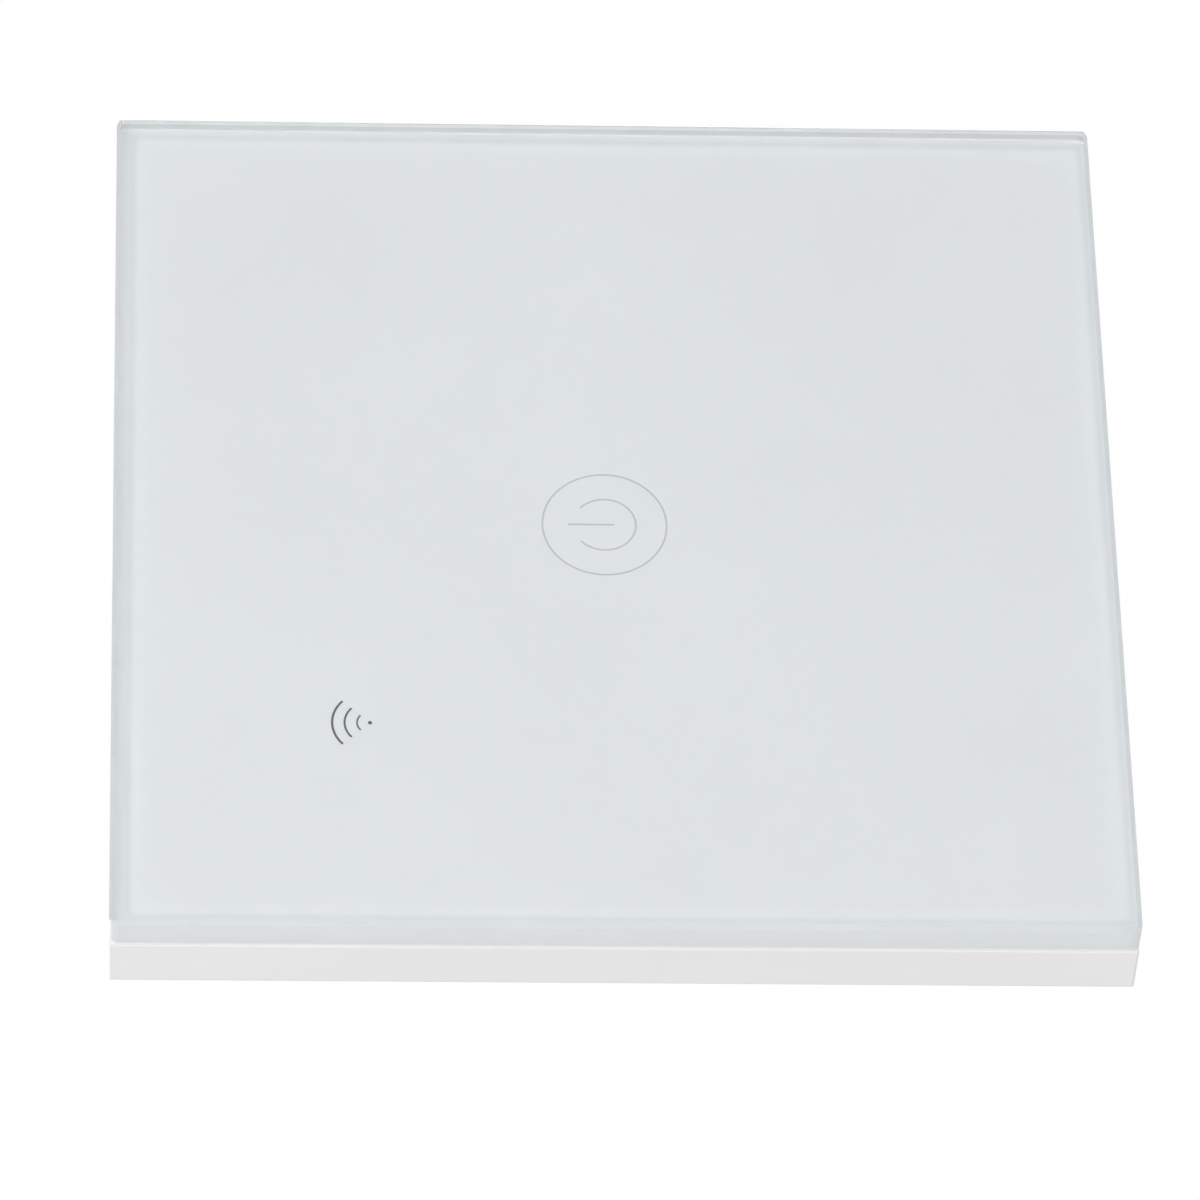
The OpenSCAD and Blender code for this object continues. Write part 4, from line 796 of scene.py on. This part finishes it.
# %% [markdown]
# The transformer's winding is wrapped in yellow tape, which follows the wires below it as soft ripples and
# is drawn in at both ends. It is built as loops around the bobbin's tube, each a little wider or narrower
# than the last.

# %% Taped winding
tape_ripples = 12
tape_ripple = 0.05
tape_shoulder, shoulder_power = 0.12, 8
tape_corner = 0.6
ripple_loops = 6
tube_size = (5.2, 7.6)
tube_corner = 0.1

wrap_low, wrap_high = heights("transformer_winding")
wrap_size = face_size("transformer_winding")
wrap_mid = middle("transformer_winding")
wrap_count = tape_ripples * ripple_loops
loops = []
for i in range(wrap_count + 1):
    share = i / wrap_count
    ripple = tape_ripple * (1 - abs(math.sin(math.pi * tape_ripples * share)))
    inset = ripple + tape_shoulder * (2 * share - 1) ** shoulder_power
    out = wrap_low + (wrap_high - wrap_low) * share
    loops.append((wrap_size[0] - 2 * inset, wrap_size[1] - 2 * inset, tape_corner, out))
loops += [(*tube_size, tube_corner, out) for out in (wrap_high, wrap_low)]
wrap_rows = []
for *form, out in loops:
    wrap_rows.append([spot(x, y, out) for x, y in round_square(*form, wrap_mid)])
wrap = bmesh.new()
skin(wrap, wrap_rows, True)
taped_winding = add_piece("taped_winding", wrap, "insulated_winding")
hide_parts("transformer_winding")
print("taped winding:", [round(v, 1) for v in wrap_size], "mm")

# %% [markdown]
# The screws that hold the housing and the touch board have round pan heads with a cross recess. The recess
# is laid out first, as a cross inside the flat of the head, and the flat is filled around it; a boolean cut
# would do the same but leaves slivers. A fine wire, wound half into the shank, makes the thread. The head's
# sizes are shares of its radius and height, so that both kinds of screw come from one function.

# %% Cross-head screw
head_flat = 0.66
head_rim = 0.4
mouth_arm, mouth_half = 0.56, 0.13
pit_arm, pit_half = 0.34, 0.08
pit_level = 0.45
crown_steps = 6
core_share = 0.8
tip_share = 0.4
thread_share = 0.2
thread_start = 0.4
thread_margin = 1.5
thread_pitch = 3


def cross_points(arm, half):
    points = [(arm, -half), (arm, half), (half, half)]
    for _ in range(3):
        points += [(-y, x) for x, y in points[-3:]]
    return points


def cross_screw(bm, centre, seat, facing, head_r, head_h, shank_r, shank_l, steps=36):
    """A pan head screw. Its head sits at seat, and facing is 1 towards the room or -1 to the rear."""

    def loop(points, rise):
        out = seat + facing * rise
        return [bm.verts.new(spot(centre[0] + x, centre[1] + y, out)) for x, y in points]

    def ring(radius, rise):
        return loop([at_turn((0, 0), radius, 360 * k / steps) for k in range(steps)], rise)

    flat_r = head_flat * head_r
    profile = [(head_r, 0.0), (head_r, head_rim * head_h)]
    for k in range(1, crown_steps + 1):
        b = math.radians(90 * k / crown_steps)
        rise = head_h * (head_rim + (1 - head_rim) * math.sin(b))
        profile.append((flat_r + (head_r - flat_r) * math.cos(b), rise))
    tip = -shank_l
    core_r = core_share * shank_r
    shank = [(tip_share * core_r, tip), (core_r, tip + shank_r), (core_r, 0.0)]
    rings = [ring(radius, rise) for radius, rise in shank + profile]
    bm.faces.new(rings[0])
    mouth = loop(cross_points(mouth_arm * head_r, mouth_half * head_r), head_h)
    pit = loop(cross_points(pit_arm * head_r, pit_half * head_r), pit_level * head_h)
    bm.faces.new(pit)
    for here, there in (*zip(rings, rings[1:]), (mouth, pit)):
        bridge(bm, here, there)
    edges = []
    for border in (rings[-1], mouth):
        pairs = zip(border, border[1:] + border[:1])
        edges += [bm.edges.get((v, w)) or bm.edges.new((v, w)) for v, w in pairs]
    bmesh.ops.triangle_fill(bm, use_beauty=True, edges=edges)
    ridge = thread_share * shank_r
    turns = math.floor((shank_l - thread_margin * shank_r) / (thread_pitch * ridge))
    thread_end = seat + facing * (tip + shank_r)
    path = helix(centre, shank_r - ridge, seat - facing * thread_start, thread_end, turns, 20)
    wire_along(bm, path, ridge * MM, 6)


print("cross-head screw ready")

# %% [markdown]
# Four screws sink into the rear housing and two hold the touch board. Each kind has a head radius, a head
# height and a shank radius. The places and lengths come from the boxes of the plain solids that the screws
# replace, so they stay in their bores when the part changes.

# %% Screw sets
house_screw = (2.2, 1.6, 1.2)
touch_screw = (1.9, 0.8, 0.9)
all_corners = ((-1, -1), (-1, 1), (1, -1), (1, 1))
two_corners = ((-1, -1), (1, 1))


def screw_set(name, node, corners, facing, head_r, head_h, shank_r):
    """Puts a screw at the corners of a square, in place of the plain solids, and returns the places."""
    back, front = heights(node)
    seat = front - head_h if facing > 0 else back + head_h
    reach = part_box(node)[1].x / MM - head_r
    places = [(x * reach, y * reach) for x, y in corners]
    bm = bmesh.new()
    for place in places:
        cross_screw(bm, place, seat, facing, head_r, head_h, shank_r, front - back - head_h)
    piece = add_piece(name, bm, "screw_steel")
    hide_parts(node)
    print(name, "screws:", len(places))
    return places


screw_set("housing_cross_screws", "housing_screws", all_corners, -1, *house_screw)
touch_places = screw_set("touch_cross_screws", "touch_board_screws", two_corners, 1, *touch_screw)

# %% [markdown]
# Small parts make a circuit board look real. They are eased blocks and turned domes, placed by a middle and
# a turn in degrees. An eased block is a cube that is stretched and then bevelled, so that its edges catch
# the light. A solder fillet is wide at its foot and drawn in at its top.

# %% Board helpers
dome_steps = 6
dome_curve = 1.6
dome_top = 0.3


def eased_block(bm, centre, size, low, high, ease, turn=0):
    """A block with round edges: its length and width, between two heights, turned in degrees."""
    made = bmesh.ops.create_cube(bm, size=1)["verts"]
    upright = Matrix.Rotation(math.radians(-turn), 4, "Y")
    stretched = Matrix.Diagonal((size[0] * MM, (high - low) * MM, size[1] * MM, 1))
    place = Matrix.Translation(spot(*centre, (low + high) / 2)) @ upright @ stretched
    bmesh.ops.transform(bm, matrix=place, verts=made)
    edges = list({edge for vert in made for edge in vert.link_edges})
    bmesh.ops.bevel(bm, geom=edges, offset=ease * MM, segments=2, profile=0.5, affect="EDGES")


def solder_dome(bm, centre, foot, rise, base):
    """A fillet of solder that climbs a pin from a base: the radius of its foot, and its rise."""
    profile = []
    for k in range(dome_steps + 1):
        share = k / dome_steps
        radius = foot * (1 - share) ** dome_curve + dome_top * foot * share
        profile.append((radius, base + rise * share))
    turned(bm, centre, profile, 20)


tin = finish("bright_tin", (0.66, 0.66, 0.65), 0.3, 0.08, 0.8, 0.1, 0.003, 0, metal=1.0)
print("board helpers ready")

# %% [markdown]
# Chip resistors are black and chip capacitors brown, both with tinned ends that sit on small pads of solder.
# Two white strokes frame each place. There is one piece for each finish.

# %% Chips on the touch board
chip_size = (1.6, 0.8)
chip_rise = 0.45
end_length = 0.32
body_share, body_drop = 0.96, 0.02
pad_size = (0.8, 0.95)
pad_layer = (board_front - 0.02, board_front + 0.08)
body_ease, end_ease, pad_ease = 0.04, 0.06, 0.03
frame_line = 0.13
frame_side = 0.78
frame_half = 1.35
legend_layer = (board_front - 0.01, board_front + 0.02)
resistors = [(-13.5, -4, 0), (-13.5, -6.4, 0), (-13.5, -8.8, 0), (13.5, -4, 0), (13.5, -6.4, 0),
             (12.4, 3.4, 90), (-14.4, 21.4, 0), (-14.4, 19.2, 0)]
capacitors = [(-12.4, 3.4, 90), (-10.8, 6.6, 90), (13.5, -8.8, 0), (10.8, 6.6, 90), (6.2, -16.2, 0),
              (-6.2, -16.2, 0)]

resistor_bodies = bmesh.new()
capacitor_bodies = bmesh.new()
tinned_ends = bmesh.new()
legend = bmesh.new()
chip_top = board_front + chip_rise
body_size = (chip_size[0] - 2 * end_length, chip_size[1] * body_share)
end_size = (end_length, chip_size[1])
for bodies, places in ((resistor_bodies, resistors), (capacitor_bodies, capacitors)):
    for *place, turn in places:
        eased_block(bodies, place, body_size, board_front, chip_top - body_drop, body_ease, turn)
        for s in (-1, 1):
            end = at_turn(place, s * (chip_size[0] - end_length) / 2, turn)
            eased_block(tinned_ends, end, end_size, board_front, chip_top, end_ease, turn)
            pad = at_turn(place, s * chip_size[0] / 2, turn)
            eased_block(tinned_ends, pad, pad_size, *pad_layer, pad_ease, turn)
            beside = at_turn(place, s * frame_side, turn + 90)
            ends = [at_turn(beside, t * frame_half, turn) for t in (-1, 1)]
            stroke(legend, ends, frame_line, *legend_layer)
fired_ceramic = finish("fired_ceramic", (0.42, 0.30, 0.19), 0.5, 0.06, 1, 0.1, 0.002, 0)
add_piece("chip_resistors", resistor_bodies, "black_plastic")
add_piece("chip_capacitors", capacitor_bodies, "ivory_plastic", fired_ceramic)
add_piece("chip_ends", tinned_ends, "screw_steel", tin)
print("chips:", len(resistors) + len(capacitors))

# %% [markdown]
# The white legend names no part: it rings the coil and the signal light, and frames the chips. Bright solder
# stands on the six link pins and on the foot of the coil. The places of the pins come from their solid.

# %% Legend and solder
legend_line = 0.15
signal_legend = 4.1
link_count = 6
pin_half = 0.25
link_solder = (0.8, 0.55)
coil_solder = (0.75, 0.3)

arc(legend, (0, 0), key_clear, legend_line, 0, 360, *legend_layer, 96)
arc(legend, middle("signal_light_guide"), signal_legend, legend_line, 0, 360, *legend_layer)
white_legend = finish("white_legend", (0.78, 0.78, 0.75), 0.7, 0.03, 2, 0.2, 0.002, 0)
add_piece("board_legend", legend, "white_print", white_legend)

link_x, link_up = middle("link_pins")
link_span = face_size("link_pins")[0] - 2 * pin_half
touch_solder = bmesh.new()
for k in range(link_count):
    pin_x = link_x + link_span * (k / (link_count - 1) - 0.5)
    solder_dome(touch_solder, (pin_x, link_up), *link_solder, board_front)
solder_dome(touch_solder, (coil_radius, 0), *coil_solder, board_front)
add_piece("touch_board_solder", touch_solder, "screw_steel", tin)
print("soldered pins:", link_count + 1)

# %% [markdown]
# Bare gold pads serve as test points and lie under the two screws. Tracks run under the green mask as low,
# lighter ridges, from the coil and the link pins to the chips and the pads.

# %% Pads and tracks
gold_low, gold_high, gold_crown = board_front - 0.02, board_front + 0.02, board_front + 0.035
gold_foot, gold_top = 0.65, 0.6
gold_profile = [(gold_foot, gold_low), (gold_foot, gold_high), (gold_top, gold_crown)]
gold_ring = 0.5
track_line = 0.35
track_layer = (board_front - 0.01, board_front + 0.012)
test_pads = [(-17.5, -14), (-17.5, -16.5), (-15, -14), (-15, -16.5), (17.5, 12), (17.5, 9.5), (17.5, 7)]
runs = [[(coil_radius, 0), (9.4, 2.8), (9.4, 9), (17.5, 9.5)], [(-13.5, -6.4), (-17.5, -10.4), (-17.5, -14)],
        [(-5, -12), (-9, -8), (-13.5, -8)], [(5, -12), (9, -8), (13.5, -8)],
        [(-14.4, 19.2), (-14.4, 12), (-12.4, 9.4), (-12.4, 3.4)], [(3, -12), (3, -14), (6.2, -16.2)],
        [(-3, -12), (-3, -14), (-6.2, -16.2)], [(13.5, -4), (16, -1.5), (16, 5.5), (17.5, 7)]]

pads = bmesh.new()
for place in test_pads:
    turned(pads, place, gold_profile, 28)
for place in touch_places:
    arc(pads, place, touch_screw[0] + gold_ring / 2, gold_ring, 0, 360, gold_low, gold_high, 48)
add_piece("gold_pads", pads, "gold_wire")

tracks = bmesh.new()
for run in runs:
    stroke(tracks, run, track_line, *track_layer)
masked_track = finish("masked_track", (0.045, 0.235, 0.130), 0.35, 0.05, 3, 0.3, 0.002, 0)
add_piece("board_tracks", tracks, "board_green", masked_track)
print("pads:", len(test_pads) + len(touch_places), "tracks:", len(runs))

# %% [markdown]
# On the main board every lead is soldered where it comes through. The script finds those places on the
# solids: the ends of the leads all lie at one height in front of the board, so their corner points fall into
# small groups. A fillet of solder goes around each group's middle.

# %% Main board solder
lead_nodes = ("relay_pins", "relay_fixed_contact", "transformer_bobbin", "bulk_capacitor",
              "output_capacitor", "film_capacitor", "varistor", "fuse", "choke_core", "terminal_tongues")
lead_spread = 1.0
same_height = 0.01
lead_solder = (1.05, 0.65)
main_back, main_front = heights("main_board")
lead_places = []
for node in lead_nodes:
    lead_end = heights(node)[1]
    groups = []
    for vert in nodes[node].data.vertices:
        if abs(-vert.co.y / MM - lead_end) < same_height:
            point = Vector((vert.co.x / MM, vert.co.z / MM))
            near = [group for group in groups if (group[0] - point).length < lead_spread]
            if near:
                near[0].append(point)
            else:
                groups.append([point])
    lead_places += [sum(group, Vector((0, 0))) / len(group) for group in groups]
main_solder = bmesh.new()
for place in lead_places:
    solder_dome(main_solder, place, *lead_solder, main_front)
add_piece("main_board_solder", main_solder, "screw_steel", tin)
print("soldered leads:", len(lead_places))

# %% [markdown]
# The cans of the two electrolytic capacitors end in a bare disc of aluminium, scored with a cross so that it
# can open under pressure. A pale stripe down the sleeve marks the negative lead.

# %% Capacitor cans
can_nodes = ("bulk_capacitor", "output_capacitor")
can_rim = 0.75
disc_root, disc_edge, disc_top = 0.05, 0.03, 0.05
disc_ease = 0.15
score_line = 0.25
score_reach = 0.6
score_low, score_high = 0.09, 0.04
stripe_turns, stripe_steps = (68, 112), 8
stripe_sink, stripe_depth = 0.015, 0.07
stripe_foot, stripe_head = 3.0, 0.6

can_tops = bmesh.new()
stripes = bmesh.new()
for node in can_nodes:
    can_r = face_size(node)[0] / 2
    can_mid = middle(node)
    top = heights(node)[0]
    disc_r = can_r - can_rim
    disc_side = [(disc_r, top + disc_root), (disc_r, top - disc_edge)]
    turned(can_tops, can_mid, [*disc_side, (disc_r - disc_ease, top - disc_top)], 40)
    for turn in (45, 135):
        ends = [at_turn(can_mid, s * score_reach * can_r, turn) for s in (-1, 1)]
        stroke(can_tops, ends, score_line, top - score_low, top - score_high)
    stripe_layer = (main_back - stripe_foot, top + stripe_head)
    arc(stripes, can_mid, can_r - stripe_sink, stripe_depth, *stripe_turns, *stripe_layer, stripe_steps)
bare_aluminium = finish("bare_aluminium", (0.70, 0.71, 0.72), 0.35, 0.06, 2, 0.3, 0.004, 0, metal=1.0,
                        stretch=(1, 1, 8))
add_piece("can_tops", can_tops, "screw_steel", bare_aluminium)
pale_stripe = finish("pale_stripe", (0.55, 0.58, 0.64), 0.35, 0.04, 3, 0.3, 0.003, 0)
add_piece("can_stripes", stripes, "can_sleeve", pale_stripe)
print("capacitor cans:", len(can_nodes))

# %% [markdown]
# Moulded marks help the fitter: letters for the line, the neutral and the lamp above the terminals, and an
# arrow on the base plate that points up. A text object could write them, but three plain characters need
# only a few points, so each one is drawn as its own outline and raised by a fifth of a millimetre. Seen from
# behind, left and right change places.

# %% Moulded marks
letter_rise = 0.2
letter_gap = 0.45
letter_root = 0.1
letters = {
    "L": (1.5, [(0, 0), (1.5, 0), (1.5, 0.45), (0.45, 0.45), (0.45, 2.6), (0, 2.6)]),
    "N": (2.0, [(0, 0), (0.45, 0), (0.45, 1.75), (1.55, 0), (2.0, 0), (2.0, 2.6), (1.55, 2.6), (1.55, 0.85),
                (0.45, 2.6), (0, 2.6)]),
    "1": (0.9, [(0.45, 0), (0.9, 0), (0.9, 2.6), (0.5, 2.6), (0, 2.05), (0, 1.6), (0.45, 1.95)]),
}
terminal_words = {"live": "L", "neutral": "N", "lamp": "L1"}
mark_up = -12.6
plate_front = 2.2
arrow_mid = 33.6
arrow = [(-0.5, -2.6), (0.5, -2.6), (0.5, 0.2), (1.7, 0.2), (0, 2.6), (-1.7, 0.2), (-0.5, 0.2)]

house_back = heights("rear_housing")[0]
moulded = bmesh.new()
for terminal, word in terminal_words.items():
    pole = middle("terminal_screw_" + terminal)[0]
    total = sum(letters[sign][0] for sign in word) + letter_gap * (len(word) - 1)
    start = -total / 2
    for sign in word:
        width, outline = letters[sign]
        mirrored = [(pole - start - x, mark_up + y) for x, y in outline]
        prism(moulded, mirrored, house_back - letter_rise, house_back + letter_root)
        start += width + letter_gap
add_piece("terminal_marks", moulded, "white_plastic")

up_arrow = bmesh.new()
raised = [(x, arrow_mid + y) for x, y in arrow]
prism(up_arrow, raised, plate_front - letter_root, plate_front + letter_rise)
add_piece("up_arrow", up_arrow, "white_plastic")
print("moulded marks:", len(terminal_words) + 1)
